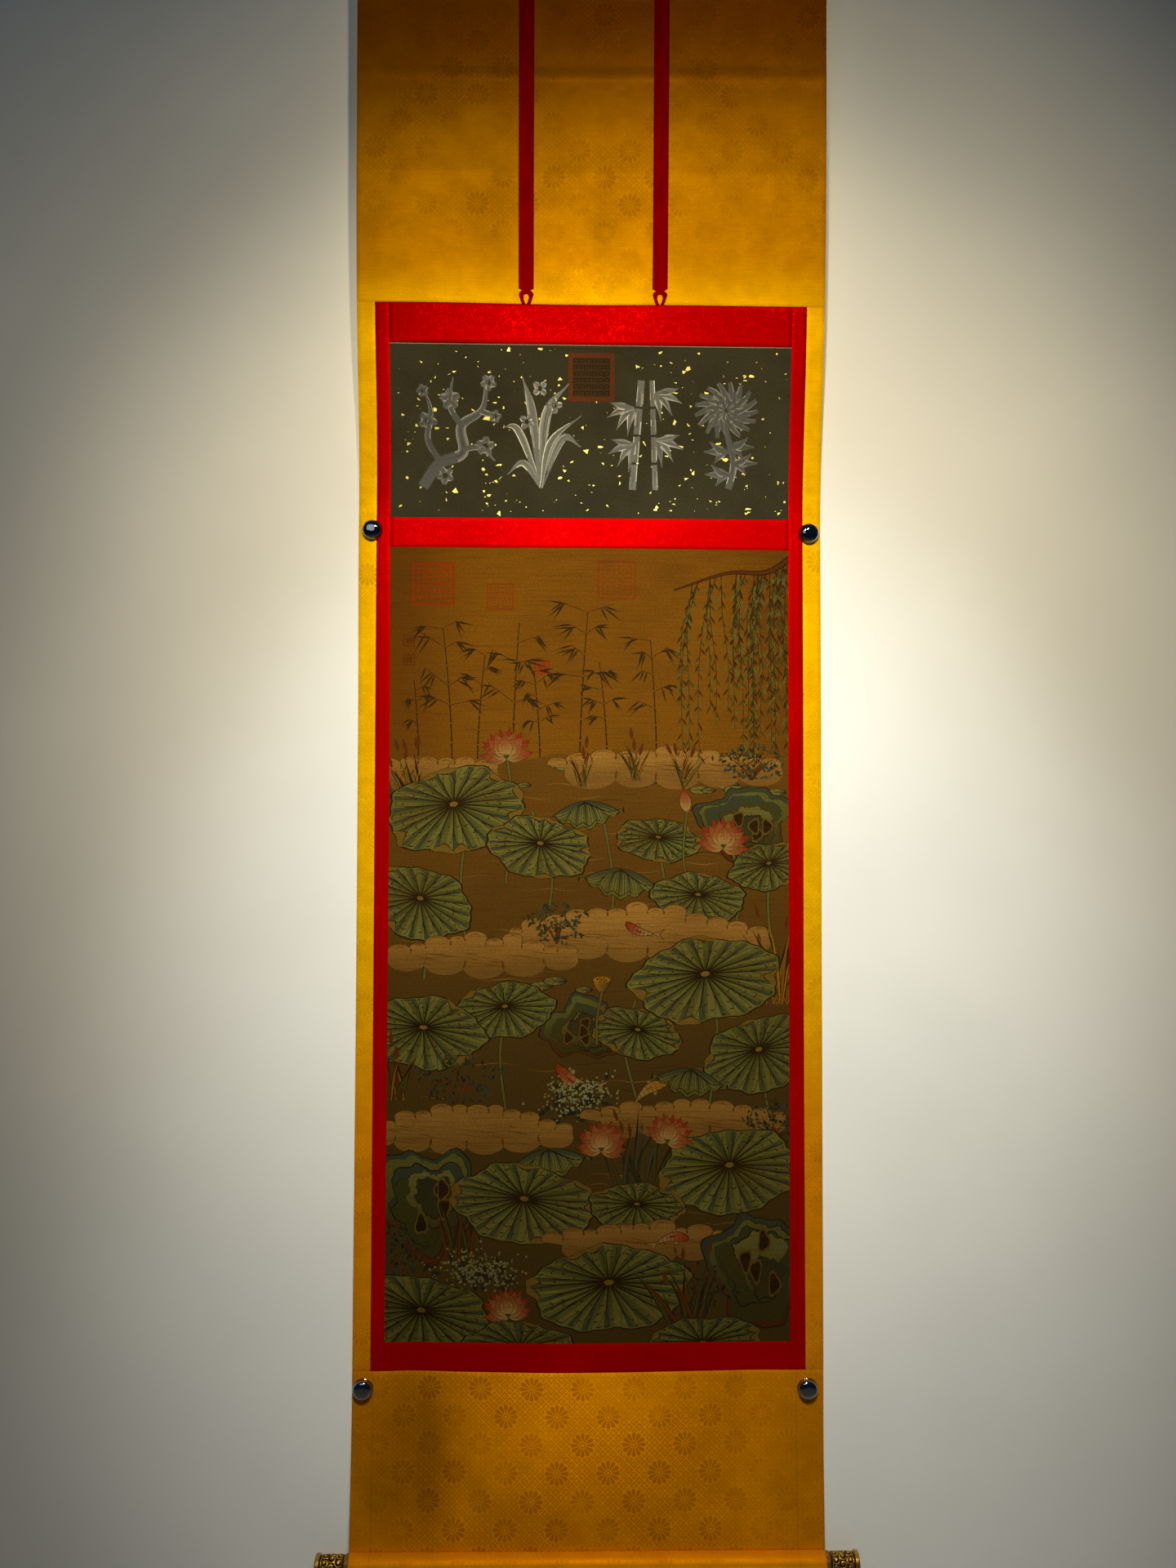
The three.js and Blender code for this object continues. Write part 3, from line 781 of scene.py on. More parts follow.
@dataclass(frozen=True)
class BackingPaper:
    """Layers of soft paper that line the back, with long fibres and faint laid lines."""

    pale: Colour = srgb(222, 212, 188)
    aged: Colour = srgb(196, 180, 146)

    def material(self) -> bpy.types.Material:
        """Lining paper on the object's own coordinates."""
        bench = Bench("backing_paper")
        place = bench.object_place()
        cloudy = bench.noise(place, 7.0, 4.0, 0.6)
        fibre = bench.noise(bench.stretched(place, 260.0, 260.0, 60.0), 1.0, 4.0, 0.6)
        laid = bench.noise(bench.stretched(place, 2.0, 2.0, 420.0), 1.0, 1.0)
        colour = bench.mix(bench.soft(cloudy, 0.3, 0.7, 0.75, 0.05), self.pale, self.aged)
        colour = bench.mix(bench.soft(fibre, 0.55, 0.75, 0.0, 0.3), colour, self.aged)
        raised = bench.math("ADD", fibre, bench.product(laid, 0.5))
        return bench.finish(Base_Color=colour, Roughness=0.82, Specular_IOR_Level=0.2,
                            Normal=bench.bump(raised, 0.5, 0.0002))


class Ground(Enum):
    """What carries the paint of a picture."""

    SILK = "silk"
    PAPER = "paper"


@dataclass(frozen=True)
class PaintedGround:
    """Paint on its ground: the colours that the mesh carries, aged and broken by the threads or fibres."""

    name: str
    ground: Ground
    roughness: float
    soil: Colour = srgb(70, 42, 10)
    varnish: Colour = (0.88, 0.85, 0.58)
    foot_share: float = 0.8

    def material(self) -> bpy.types.Material:
        """Paint with the weave of silk or the fibres of paper over it."""
        bench = Bench(self.name)
        place = bench.cut_place()
        colour = bench.attribute(PAINT)
        is_silk = self.ground is Ground.SILK
        line = bench.noise(bench.stretched(place, 12.0, 620.0), 1.0, 4.0, 0.65)
        fine = bench.noise(bench.stretched(place, 1300.0, 240.0), 1.0, 2.0)
        cloudy = bench.noise(place, 11.0, 4.0, 0.6)
        speck = bench.noise(place, 420.0, 3.0, 0.7)
        if is_silk:
            colour = bench.mix(bench.soft(line, 0.32, 0.56, 0.42, 0.0), colour, self.soil)
            colour = bench.mix(bench.soft(fine, 0.35, 0.6, 0.16, 0.0), colour, self.soil)
        colour = bench.mix(bench.soft(cloudy, 0.3, 0.6, 0.24, 0.0), colour, self.soil)
        height = bench.part(bench.object_place(), 2)
        # Darker towards the foot of the panel.
        bright = bench.product(bench.soft(speck, 0.35, 0.7, 0.86, 1.14),
                               bench.soft(height, -1.6, -1.0, self.foot_share, 1.0))
        colour = bench.lit(bench.mix(1.0, colour, self.varnish, "MULTIPLY"), bright)
        raised = bench.math("ADD", line, fine) if is_silk else bench.math("ADD", speck, cloudy)
        return bench.finish(Base_Color=colour, Roughness=self.roughness, Specular_IOR_Level=0.03,
                            Normal=bench.bump(raised, 0.4, 0.00009))


@dataclass(frozen=True)
class MetalPaint:
    """Leaf or ground metal laid on paper: its colours come with the mesh, and it glints a little."""

    name: str
    metallic: float
    roughness: float

    def material(self) -> bpy.types.Material:
        """Metal paint with a broken, brushed surface."""
        bench = Bench(self.name)
        place = bench.cut_place()
        streak = bench.noise(bench.stretched(place, 700.0, 500.0), 1.0, 4.0, 0.7)
        bright = bench.soft(streak, 0.3, 0.7, 0.62, 1.25)
        colour = bench.lit(bench.attribute(PAINT), bright)
        return bench.finish(Base_Color=colour, Metallic=self.metallic, Roughness=self.roughness,
                            Normal=bench.bump(streak, 0.5, 0.00008))


@dataclass(frozen=True)
class Gilding:
    """Gilt metal, bright where it is rubbed and brown where dirt has settled in the hollows."""

    name: str
    bright: Colour
    dull: Colour
    grime: Colour
    roughness: float

    def material(self) -> bpy.types.Material:
        """Gilding that reads how deep each place of the carving lies."""
        bench = Bench(self.name)
        place = bench.object_place()
        hollow = bench.attribute(HOLLOW, "Fac")
        worn = bench.noise(place, 620.0, 4.0, 0.65)
        pits = bench.noise(place, 2600.0, 2.0)
        colour = bench.mix(bench.soft(worn, 0.35, 0.65), self.dull, self.bright)
        depth = bench.math("ADD", hollow, bench.math("MULTIPLY_ADD", worn, 0.5, -0.25))
        dirty = bench.soft(depth, 0.25, 0.8)
        colour = bench.mix(dirty, colour, self.grime)
        roughness = bench.math("MULTIPLY_ADD", dirty, 0.35, self.roughness)
        raised = bench.math("ADD", worn, bench.product(pits, 0.4))
        return bench.finish(Base_Color=colour, Metallic=0.88, Roughness=roughness,
                            Normal=bench.bump(raised, 0.45, 0.00015))


@dataclass(frozen=True)
class Chrome:
    """Mirror chrome with the faintest orange peel and a few rubbed marks."""

    # Painted shade: the chrome colour is darker than bright chrome so that its reflections read dark.
    colour: Colour = srgb(142, 142, 146)
    rubbed: Colour = srgb(104, 104, 110)

    def material(self) -> bpy.types.Material:
        """Chrome plate."""
        bench = Bench("chrome")
        place = bench.object_place()
        peel = bench.noise(place, 260.0, 2.0)
        rubbed = bench.noise(bench.stretched(place, 900.0, 900.0, 300.0), 1.0, 4.0, 0.7)
        colour = bench.mix(bench.soft(rubbed, 0.6, 0.8, 0.0, 0.25), self.colour, self.rubbed)
        return bench.finish(Base_Color=colour, Metallic=1.0,
                            Roughness=bench.soft(rubbed, 0.55, 0.85, 0.02, 0.1),
                            Normal=bench.bump(peel, 0.25, 0.00006))


@dataclass(frozen=True)
class StageFinish:
    """Plain matt finish of the floor or the wall of the studio."""

    name: str
    colour: Colour
    one_sided: bool = False

    def material(self) -> bpy.types.Material:
        """Matt paint with a faint mottle, clear from behind where it is one-sided."""
        bench = Bench(self.name)
        mottle = bench.noise(bench.object_place(), 3.0, 4.0)
        darker = tuple(0.93 * share for share in self.colour)
        colour = bench.mix(bench.soft(mottle, 0.3, 0.7), darker, self.colour)
        material = bench.finish(Base_Color=colour, Roughness=0.9, Specular_IOR_Level=0.1)
        if self.one_sided:
            behind = bench.node("ShaderNodeNewGeometry", {}, "Backfacing")
            clear = bench.node("ShaderNodeBsdfTransparent", {})
            shown = bench.node("ShaderNodeMixShader", {0: behind, 1: bench.shader.outputs[0], 2: clear})
            bench.give(bench.tree.nodes["Material Output"].inputs["Surface"], shown)
        return material


class Finishes:
    """Every material of the scroll, made once."""

    def __init__(self) -> None:
        """Makes the materials."""
        self.gold_damask = GoldDamask().material()
        self.red_silk = RedSilk().material()
        self.ribbon_silk = RibbonSilk().material()
        self.backing = BackingPaper().material()
        self.painted_silk = PaintedGround("painted_silk", Ground.SILK, 0.72).material()
        self.dark_paper = PaintedGround("dark_paper", Ground.PAPER, 0.78, srgb(22, 20, 10),
                                        varnish=(0.92, 0.97, 1.19)).material()
        self.gold_leaf = MetalPaint("gold_leaf", 0.25, 0.45).material()
        self.silver_ink = MetalPaint("silver_ink", 0.35, 0.5).material()
        self.gilt = Gilding("gilt", srgb(206, 160, 62), srgb(150, 108, 34), srgb(40, 24, 6), 0.3).material()
        self.pale_gilt = Gilding("pale_gilt", srgb(226, 206, 164), srgb(190, 160, 108), srgb(60, 40, 20),
                                 0.26).material()
        self.chrome = Chrome().material()


def spun(places: Sequence[tuple[float, float, float]], axis: tuple[int, int, int], steps: int,
         merge: float) -> bmesh.types.BMesh:
    """Turns a line of corners once round an axis through the origin.

    Args:
        places: The corners, in metres.
        axis: The axis.
        steps: Steps of a full turn.
        merge: Distance under which corners are made one.

    Returns:
        The closed shape.
    """
    shape = bmesh.new()
    verts = [shape.verts.new(place) for place in places]
    edges = [shape.edges.new(pair) for pair in zip(verts, verts[1:])]
    bmesh.ops.spin(shape, geom=verts + edges, cent=(0, 0, 0), axis=axis, angle=TURN, steps=steps,
                   use_merge=True)
    bmesh.ops.remove_doubles(shape, verts=shape.verts[:], dist=merge)
    return shape


class Medium(Enum):
    """What a patch of a picture is laid down in, by the place of its material on the mesh."""

    GROUND = 0
    BACKING = 1
    LEAF_METAL = 2
    SILVER = 3


@dataclass(frozen=True)
class Wash:
    """Paint that runs from one colour at one place to another colour at a second place."""

    first: Colour
    last: Colour
    start: tuple[float, float]
    end: tuple[float, float]

    def at(self, points: Points) -> Points:
        """Colours of the paint at some points.

        Args:
            points: Places on the picture in millimetres.

        Returns:
            One linear colour for each point.
        """
        run = np.subtract(self.end, self.start)
        share = smoothstep((points - self.start) @ run / float(run @ run), 0, 1)[:, None]
        return np.array(self.first) * (1 - share) + np.array(self.last) * share


@dataclass(frozen=True)
class Plain:
    """Paint of one colour."""

    colour: Colour

    def at(self, points: Points) -> Points:
        """The one colour for each of the points."""
        return np.tile(self.colour, (len(points), 1))


@dataclass(frozen=True)
class Halo:
    """Paint that runs from one colour in the middle to another at a distance."""

    inner: Colour
    outer: Colour
    centre: tuple[float, float]
    radius: float
    squash: float = 1.0

    def at(self, points: Points) -> Points:
        """Colours of the paint at some points.

        Args:
            points: Places on the picture in millimetres.

        Returns:
            One linear colour for each point.
        """
        away = np.hypot(points[:, 0] - self.centre[0], (points[:, 1] - self.centre[1]) / self.squash)
        share = smoothstep(away, 0, self.radius)[:, None]
        return np.array(self.inner) * (1 - share) + np.array(self.outer) * share


@dataclass(frozen=True)
class AgedGround:
    """Bare ground of a picture: toned down towards its sides and its foot, with broad soft stains."""

    middle: Colour
    side: Colour
    foot: Colour
    half_width: float
    height: float

    def at(self, points: Points) -> Points:
        """Colours of the bare ground at some points.

        Args:
            points: Places on the picture in millimetres.

        Returns:
            One linear colour for each point.
        """
        x, down = points[:, 0], points[:, 1]
        aside = smoothstep(np.abs(x), 0.55 * self.half_width, 1.02 * self.half_width)
        low = smoothstep(down, 0.3 * self.height, self.height)
        stain = (0.5 + 0.25 * np.sin(x / 47 + np.sin(down / 91))
                 + 0.25 * np.sin(down / 61 + np.sin(x / 83) * 1.8))
        share = np.clip(aside * 0.75 + 0.25 * stain, 0, 1)[:, None]
        toned = np.array(self.middle) * (1 - share) + np.array(self.side) * share
        return toned * (1 - low[:, None]) + np.array(self.foot) * low[:, None]


Paint = Wash | Plain | Halo | AgedGround


@dataclass(frozen=True)
class Patch:
    """One closed patch of paint."""

    outline: Points
    paint: Paint
    medium: Medium = Medium.GROUND


def smooth_line(points: Sequence[tuple[float, float]], per_span: int = 6) -> Points:
    """A smooth line through some points.

    Args:
        points: Places that the line passes through.
        per_span: Steps between two of them.

    Returns:
        The points of the line.
    """
    knots = np.array(points, float)
    padded = np.vstack([2 * knots[0] - knots[1], knots, 2 * knots[-1] - knots[-2]])
    share = np.linspace(0, 1, per_span, endpoint=False)[:, None]
    spans = []
    for before, start, end, after in zip(padded, padded[1:], padded[2:], padded[3:]):
        spans.append(0.5 * (
            2 * start + (end - before) * share + (2 * before - 5 * start + 4 * end - after) * share**2
            + (3 * start - before - 3 * end + after) * share**3
        ))
    return np.vstack([*spans, knots[-1:]])


def taper(count: int, width: float, start: float = 0.25, end: float = 0.0, belly: float = 0.45) -> Points:
    """Widths of a stroke that swells from its start and thins to its end.

    Args:
        count: How many widths.
        width: Greatest width.
        start: Share of it at the start.
        end: Share of it at the end.
        belly: Where along the stroke it is widest.

    Returns:
        The widths.
    """
    along = np.linspace(0, 1, count)
    rise = start + (1 - start) * smoothstep(along, -0.001, belly)
    fall = end + (1 - end) * smoothstep(along, 1.001, belly)
    return width * np.minimum(rise, fall)


class Sketch:
    """A flat picture in painter's order, in millimetres from the middle of its upper edge, down positive."""

    def __init__(self, width: float, height: float, bare: Paint) -> None:
        """Starts a picture.

        Args:
            width: Width of the panel.
            height: Height of the panel.
            bare: Paint of the bare ground.
        """
        self.width, self.height, self.bare = width, height, bare
        self.patches: list[Patch] = []

    def patch(self, outline: Points, paint: Paint, medium: Medium = Medium.GROUND) -> None:
        """Lays one patch over all the earlier ones."""
        self.patches.append(Patch(np.asarray(outline, float), paint, medium))

    def stroke(self, line: Points, widths: Points | float, paint: Paint,
               medium: Medium = Medium.GROUND) -> None:
        """Lays a stroke along a line.

        Args:
            line: Points of the line.
            widths: Width at each point, or one width.
            paint: Its paint.
            medium: What it is laid down in.
        """
        run = np.gradient(line, axis=0)
        run /= np.maximum(np.linalg.norm(run, axis=1), 1e-9)[:, None]
        aside = np.stack([-run[:, 1], run[:, 0]], axis=1) * (np.ones(len(line)) * widths / 2)[:, None]
        self.patch(np.vstack([line + aside, (line - aside)[::-1]]), paint, medium)

    def bars(self, corners: Sequence[tuple[float, float]], width: float, paint: Paint) -> None:
        """Lays straight bars that meet square at their corners.

        Args:
            corners: Ends and corners of the bars.
            width: Their width.
            paint: Their paint.
        """
        half = width / 2
        for (x0, d0), (x1, d1) in zip(corners, corners[1:]):
            low_x, high_x = min(x0, x1) - half, max(x0, x1) + half
            low_d, high_d = min(d0, d1) - half, max(d0, d1) + half
            self.patch([(low_x, low_d), (high_x, low_d), (high_x, high_d), (low_x, high_d)], paint)

    def dots(self, centres: Points, sizes: Points, paint: Paint) -> None:
        """Lays small round dots.

        Args:
            centres: Middle of each dot.
            sizes: Diameter of each dot.
            paint: Their paint.
        """
        angles = np.linspace(0, TURN, 6, endpoint=False)
        ring = np.stack([np.cos(angles), np.sin(angles)], axis=1)
        for centre, size in zip(centres, sizes):
            self.patch(centre + ring * size / 2, paint)

    def fret_seal(self, x: float, down: float, size: float, paint: Paint, bar: float) -> None:
        """Lays a plain square stamp: a frame round four square spirals, with no writing in it.

        Args:
            x: Middle of the stamp across.
            down: Middle of the stamp down.
            size: Side of the frame.
            paint: Its paint.
            bar: Width of its lines.
        """
        half = size / 2
        frame_line = [(-half, -half), (half, -half), (half, half), (-half, half), (-half, -half)]
        self.bars([(x + a, down + b) for a, b in frame_line], bar * 1.5, paint)
        reach = half - 2.6 * bar
        spiral = [(0.1, 0.12), (1.0, 0.12), (1.0, 1.0), (0.18, 1.0), (0.18, 0.42), (0.68, 0.42),
                  (0.68, 0.7), (0.44, 0.7)]
        for turn_x, turn_d in ((1, 1), (-1, 1), (-1, -1), (1, -1)):
            self.bars([(x + turn_x * a * reach, down + turn_d * b * reach) for a, b in spiral], bar, paint)

    def owners(self, centres: Points) -> Points:
        """Topmost patch over each place.

        Args:
            centres: The places.

        Returns:
            The number of the patch, counted from 1, or 0 for the bare ground.
        """
        order = np.argsort(centres[:, 0])
        x, down = centres[order, 0], centres[order, 1]
        found = np.zeros(len(centres), int)
        for number, patch in enumerate(self.patches, start=1):
            low, high = patch.outline.min(axis=0), patch.outline.max(axis=0)
            first, last = np.searchsorted(x, [low[0], high[0]])
            rows = np.arange(first, last)
            rows = rows[(down[rows] >= low[1]) & (down[rows] <= high[1])]
            if len(rows):
                found[rows[self.inside(x[rows], down[rows], patch.outline)]] = number
        result = np.empty_like(found)
        result[order] = found
        return result

    @staticmethod
    def inside(x: Points, down: Points, outline: Points) -> Points:
        """Whether places lie inside an outline.

        Args:
            x: Places across.
            down: Places down.
            outline: Corners of the closed outline.

        Returns:
            True for each place inside.
        """
        x0, d0 = outline[:, 0][None], outline[:, 1][None]
        x1, d1 = np.roll(x0, -1), np.roll(d0, -1)
        spans = (d0 > down[:, None]) != (d1 > down[:, None])
        with np.errstate(divide="ignore", invalid="ignore"):
            crossing = x0 + (down[:, None] - d0) * (x1 - x0) / (d1 - d0)
        return (np.count_nonzero(spans & (x[:, None] < crossing), axis=1) % 2).astype(bool)

    def border(self, cell: float) -> Points:
        """Points round the edge of the panel.

        Args:
            cell: Greatest distance between two of them.

        Returns:
            The points, once round.
        """
        half = self.width / 2
        corners = [(-half, 0), (half, 0), (half, self.height), (-half, self.height), (-half, 0)]
        sides = []
        for start, end in zip(corners, corners[1:]):
            count = math.ceil(math.dist(start, end) / cell)
            sides.append(np.linspace(start, end, count, endpoint=False))
        return np.vstack(sides)

    def round_rim(self, verts: Iterable[bmesh.types.BMVert]) -> Points:
        """Places of corners on the edge of the panel, in their order round it.

        Args:
            verts: The corners.

        Returns:
            Their places.
        """
        def way(place: tuple[float, float]) -> float:
            """Distance round the edge to a place, clockwise from the upper left corner."""
            across, down = place[0] + self.width / 2, place[1]
            near = (down, self.width - across, self.height - down, across)
            side = near.index(min(near))
            return (across, self.width + down, 2 * self.width + self.height - across,
                    2 * (self.width + self.height) - down)[side]

        return np.array(sorted(((vert.co.x, -vert.co.z) for vert in verts), key=way))

    def grid(self, cell: float) -> Points:
        """Points inside the panel, in even rows.

        Args:
            cell: Distance between two rows.

        Returns:
            The points.
        """
        across = np.arange(-self.width / 2 + cell, self.width / 2 - cell / 2, cell)
        along = np.arange(cell, self.height - cell / 2, cell)
        return np.stack(np.meshgrid(across, along), axis=-1).reshape(-1, 2)

    def triangulated(self, loops: Iterable[Points], cell: float) -> tuple[Points, Points]:
        """Triangles of the panel that keep to the edges of some loops.

        Args:
            loops: Closed outlines, or the two ends of single lines, whose sides stay as edges.
            cell: Distance between the points that let the panel bend.

        Returns:
            Corners, and three corner numbers for each triangle.
        """
        places, sides, count = [], [], 0
        for loop in loops:
            places.append(loop)
            steps = len(loop) if len(loop) > 2 else 1
            sides += [(count + i, count + (i + 1) % len(loop)) for i in range(steps)]
            count += len(loop)
        places.append(self.grid(cell))
        flipped = [Vector((x, -down)) for x, down in np.vstack(places)]
        corners, _, faces, *_ = delaunay_2d_cdt(flipped, sides, [], 0, 1e-3, False)
        corners = np.array([(corner.x, -corner.y) for corner in corners])
        faces = np.array(faces)
        middle = corners[faces].mean(axis=1)
        kept = (np.abs(middle[:, 0]) < self.width / 2) & (middle[:, 1] > 0) & (middle[:, 1] < self.height)
        return corners, faces[kept]

    def front(self, cell: float) -> tuple[Points, Points, Points]:
        """The painted face as triangles, with only the edges that show between patches.

        Args:
            cell: Distance between the points that let the panel bend.

        Returns:
            Corners, three corner numbers for each triangle, and the number of its patch.
        """
        outlines = [self.border(cell)] + [patch.outline for patch in self.patches]
        corners, faces = self.triangulated(outlines, self.width)
        lines = self.straightened(corners, self.seen_edges(faces, self.owners(corners[faces].mean(axis=1))))
        corners, faces = self.triangulated(lines, cell)
        return corners, faces, self.owners(corners[faces].mean(axis=1))

    @staticmethod
    def seen_edges(faces: Points, owners: Points) -> Points:
        """Edges with another patch, or nothing, on their other side.

        Args:
            faces: Three corner numbers for each triangle.
            owners: The number of the patch of each triangle.

        Returns:
            Two corner numbers for each edge.
        """
        edges = np.sort(np.vstack([faces[:, [0, 1]], faces[:, [1, 2]], faces[:, [2, 0]]]), axis=1)
        sides = np.tile(owners, 3)
        order = np.lexsort((edges[:, 1], edges[:, 0]))
        edges, sides = edges[order], sides[order]
        paired = np.append((edges[1:] == edges[:-1]).all(axis=1), False)
        same = np.append(sides[1:] == sides[:-1], False) & paired
        second = np.append(False, paired[:-1])
        return edges[~second & ~same]

    @staticmethod
    def straightened(corners: Points, edges: Points, slack: float = 0.05, rounds: int = 3) -> list[Points]:
        """Takes out the corners that lie almost straight between their two neighbours.

        Args:
            corners: Places of all corners.
            edges: Two corner numbers for each edge.
            slack: Greatest distance from the straight line.
            rounds: How often every second one may go.

        Returns:
            The two ends of each edge that is left.
        """
        near: dict[int, list[int]] = {}
        for first, second in edges.tolist():
            near.setdefault(first, []).append(second)
            near.setdefault(second, []).append(first)
        for _ in range(rounds):
            fixed: set[int] = set()
            for middle in list(near):
                if len(near[middle]) != 2 or middle in fixed:
                    continue
                before, after = near[middle]
                span = corners[after] - corners[before]
                reach = math.hypot(*span)
                away = corners[middle] - corners[before]
                if after in near[before] or abs(span[0] * away[1] - span[1] * away[0]) > slack * reach:
                    continue
                near[before][near[before].index(middle)] = after
                near[after][near[after].index(middle)] = before
                del near[middle]
                fixed.update((before, after))
        return [corners[[one, other]] for one, others in near.items() for other in others if one < other]

    def colours(self, points: Points, owners: Points) -> Points:
        """Colours of points, each seen as part of one patch.

        Args:
            points: The places.
            owners: The number of the patch of each.

        Returns:
            One linear colour for each point.
        """
        result = np.zeros((len(points), 3))
        order = np.argsort(owners, kind="stable")
        starts = np.searchsorted(owners[order], np.arange(len(self.patches) + 2))
        for number in range(len(self.patches) + 1):
            rows = order[starts[number]:starts[number + 1]]
            if len(rows):
                paint = self.patches[number - 1].paint if number else self.bare
                result[rows] = paint.at(points[rows])
        return result


@dataclass(frozen=True)
class Pigments:
    """Colours of the painter's box."""

    ink: Colour = srgb(24, 18, 8)
    soft_ink: Colour = srgb(42, 31, 12)
    malachite: Colour = srgb(88, 88, 40)
    pale_green: Colour = srgb(108, 102, 52)
    deep_green: Colour = srgb(56, 58, 26)
    azurite: Colour = srgb(46, 60, 48)
    deep_azurite: Colour = srgb(30, 40, 34)
    underleaf: Colour = srgb(112, 86, 32)
    mist: Colour = srgb(150, 106, 50)
    mist_line: Colour = srgb(88, 56, 18)
    water: Colour = srgb(96, 62, 16)
    deep_water: Colour = srgb(62, 48, 20)
    ochre: Colour = srgb(128, 80, 14)
    bright_ochre: Colour = srgb(150, 100, 18)
    russet: Colour = srgb(84, 40, 12)
    vermilion: Colour = srgb(132, 34, 12)
    rose: Colour = srgb(134, 62, 32)
    shell: Colour = srgb(150, 118, 74)
    blossom: Colour = srgb(128, 124, 88)
    stamp: Colour = srgb(138, 46, 4)
    faint_stamp: Colour = srgb(124, 56, 6)
    old_stamp: Colour = srgb(88, 44, 10)


def shade(colour: Colour, share: float) -> Colour:
    """A colour made darker or lighter by a share."""
    return tuple(min(1.0, part * share) for part in colour)


class Garden:
    """Plants, fish, rocks and mist of a garden pond, drawn with a brush on a sketch."""

    def __init__(self, sketch: Sketch, seed: int) -> None:
        """Takes up the brush.

        Args:
            sketch: What is drawn on.
            seed: Start of the hand's own small irregularities.
        """
        self.sketch = sketch
        self.box = Pigments()
        self.hand = np.random.default_rng(seed)

    def lotus_leaf(self, x: float, down: float, radius: float, squash: float, turn: float,
                   gloom: float) -> None:
        """A round leaf seen from above and to one side, with veins that run from its eye to a waved rim.

        Args:
            x: Its middle across.
            down: Its middle down.
            radius: Half its width.
            squash: Its height for a width of one.
            turn: How far it is turned, in radians.
            gloom: Share that its colours are darkened to.
        """
        hand, box, sketch = self.hand, self.box, self.sketch
        phase = hand.uniform(0, TURN, 3)
        lean = np.array([[math.cos(turn), -math.sin(turn)], [math.sin(turn), math.cos(turn)]])
        eye = np.array([0.0, -0.16 * radius])

        def spot(angles: Points, share: Points | float) -> Points:
            """Places on the leaf at some angles and shares of the way from the eye to the rim."""
            reach = radius * (
                1 + 0.045 * np.sin(5 * angles + phase[0]) + 0.03 * np.sin(9 * angles + phase[1])
                + 0.016 * np.sin(21 * angles + phase[2])
            )
            rim = np.stack([np.cos(angles) * reach, np.sin(angles) * reach], axis=1)
            flat = eye + (rim - eye) * np.reshape(share, (-1, 1))
            return (flat * (1, squash)) @ lean.T + (x, down)

        round_angles = np.linspace(0, TURN, 90, endpoint=False)
        malachite, azurite = shade(box.malachite, gloom), shade(box.azurite, gloom)
        pale, deep = shade(box.pale_green, gloom), shade(box.deep_green, gloom)
        ink = shade(box.ink, gloom)
        centre = tuple(spot(np.zeros(1), 0.0)[0])
        sketch.patch(spot(round_angles, 1 + 2.2 / radius), Plain(ink))
        sketch.patch(spot(round_angles, 1.0), Halo(deep, malachite, centre, radius, squash))
        count = int(15 + radius / 12)
        veins = np.linspace(0, TURN, count, endpoint=False) + hand.uniform(-0.05, 0.05, count)
        spans = np.append(veins[1:], veins[0] + TURN) - veins
        for start, span in zip(veins, spans):
            arc = start + span * np.linspace(0.04, hand.uniform(0.4, 0.62), 4)
            wedge = np.vstack([spot(arc[:1], 0.1), spot(arc, 0.985)])
            sketch.patch(wedge, Halo(malachite, pale, centre, radius * 1.05, squash))
            arc = start + span * np.linspace(hand.uniform(0.72, 0.8), 0.97, 3)
            wedge = np.vstack([spot(arc[-1:], 0.22), spot(arc, 0.97)])
            sketch.patch(wedge, Halo(azurite, shade(azurite, 1.25), centre, radius, squash))
            for share in (0.46, 0.64, 0.8, 0.92):
                if hand.random() < 0.72:
                    ends = np.sort(hand.uniform(0.05, 0.95, 2))
                    along = np.linspace(ends[0], max(ends[1], ends[0] + 0.3), 6)
                    bow = share + 0.035 * np.sin(np.pi * (along - along[0]) / (along[-1] - along[0]))
                    line = spot(start + span * along, bow)
                    sketch.stroke(line, taper(6, 0.9 + radius / 160), Plain(shade(ink, 1.4)))
        for start, span in zip(veins, spans):
            share = np.linspace(0.07, 0.95, 9)
            swing = start + hand.uniform(-0.03, 0.03) * np.sin(np.pi * share)
            sketch.stroke(spot(swing, share), np.linspace(0.9 + radius / 70, 0.5, 9), Plain(ink))
            for side in (-1, 1):
                fork = np.linspace(0.58 + hand.uniform(-0.08, 0.08), 0.96, 5)
                angles = start + side * span * 0.3 * smoothstep(fork, 0.5, 1.0)
                sketch.stroke(spot(angles, fork), np.linspace(0.9, 0.4, 5), Plain(ink))
        for start, span in zip(veins, spans):
            if hand.random() < 0.24:
                arc = start + span * np.linspace(-0.1, 1.1, 9)
                depth = hand.uniform(0.1, 0.17) * np.sin(np.pi * np.linspace(0, 1, 9))
                flap = np.vstack([spot(arc, 1 + 1.2 / radius), spot(arc[::-1], 1 - depth[::-1])])
                sketch.patch(flap, Plain(shade(box.underleaf, gloom)))
                sketch.stroke(spot(arc, 1 - depth), taper(9, 1.5), Plain(ink))
        small = np.linspace(0, TURN, 14, endpoint=False)
        sketch.patch(spot(small, 0.085), Plain(ink))
        sketch.patch(spot(small, 0.062), Plain(shade(box.underleaf, gloom * 1.1)))

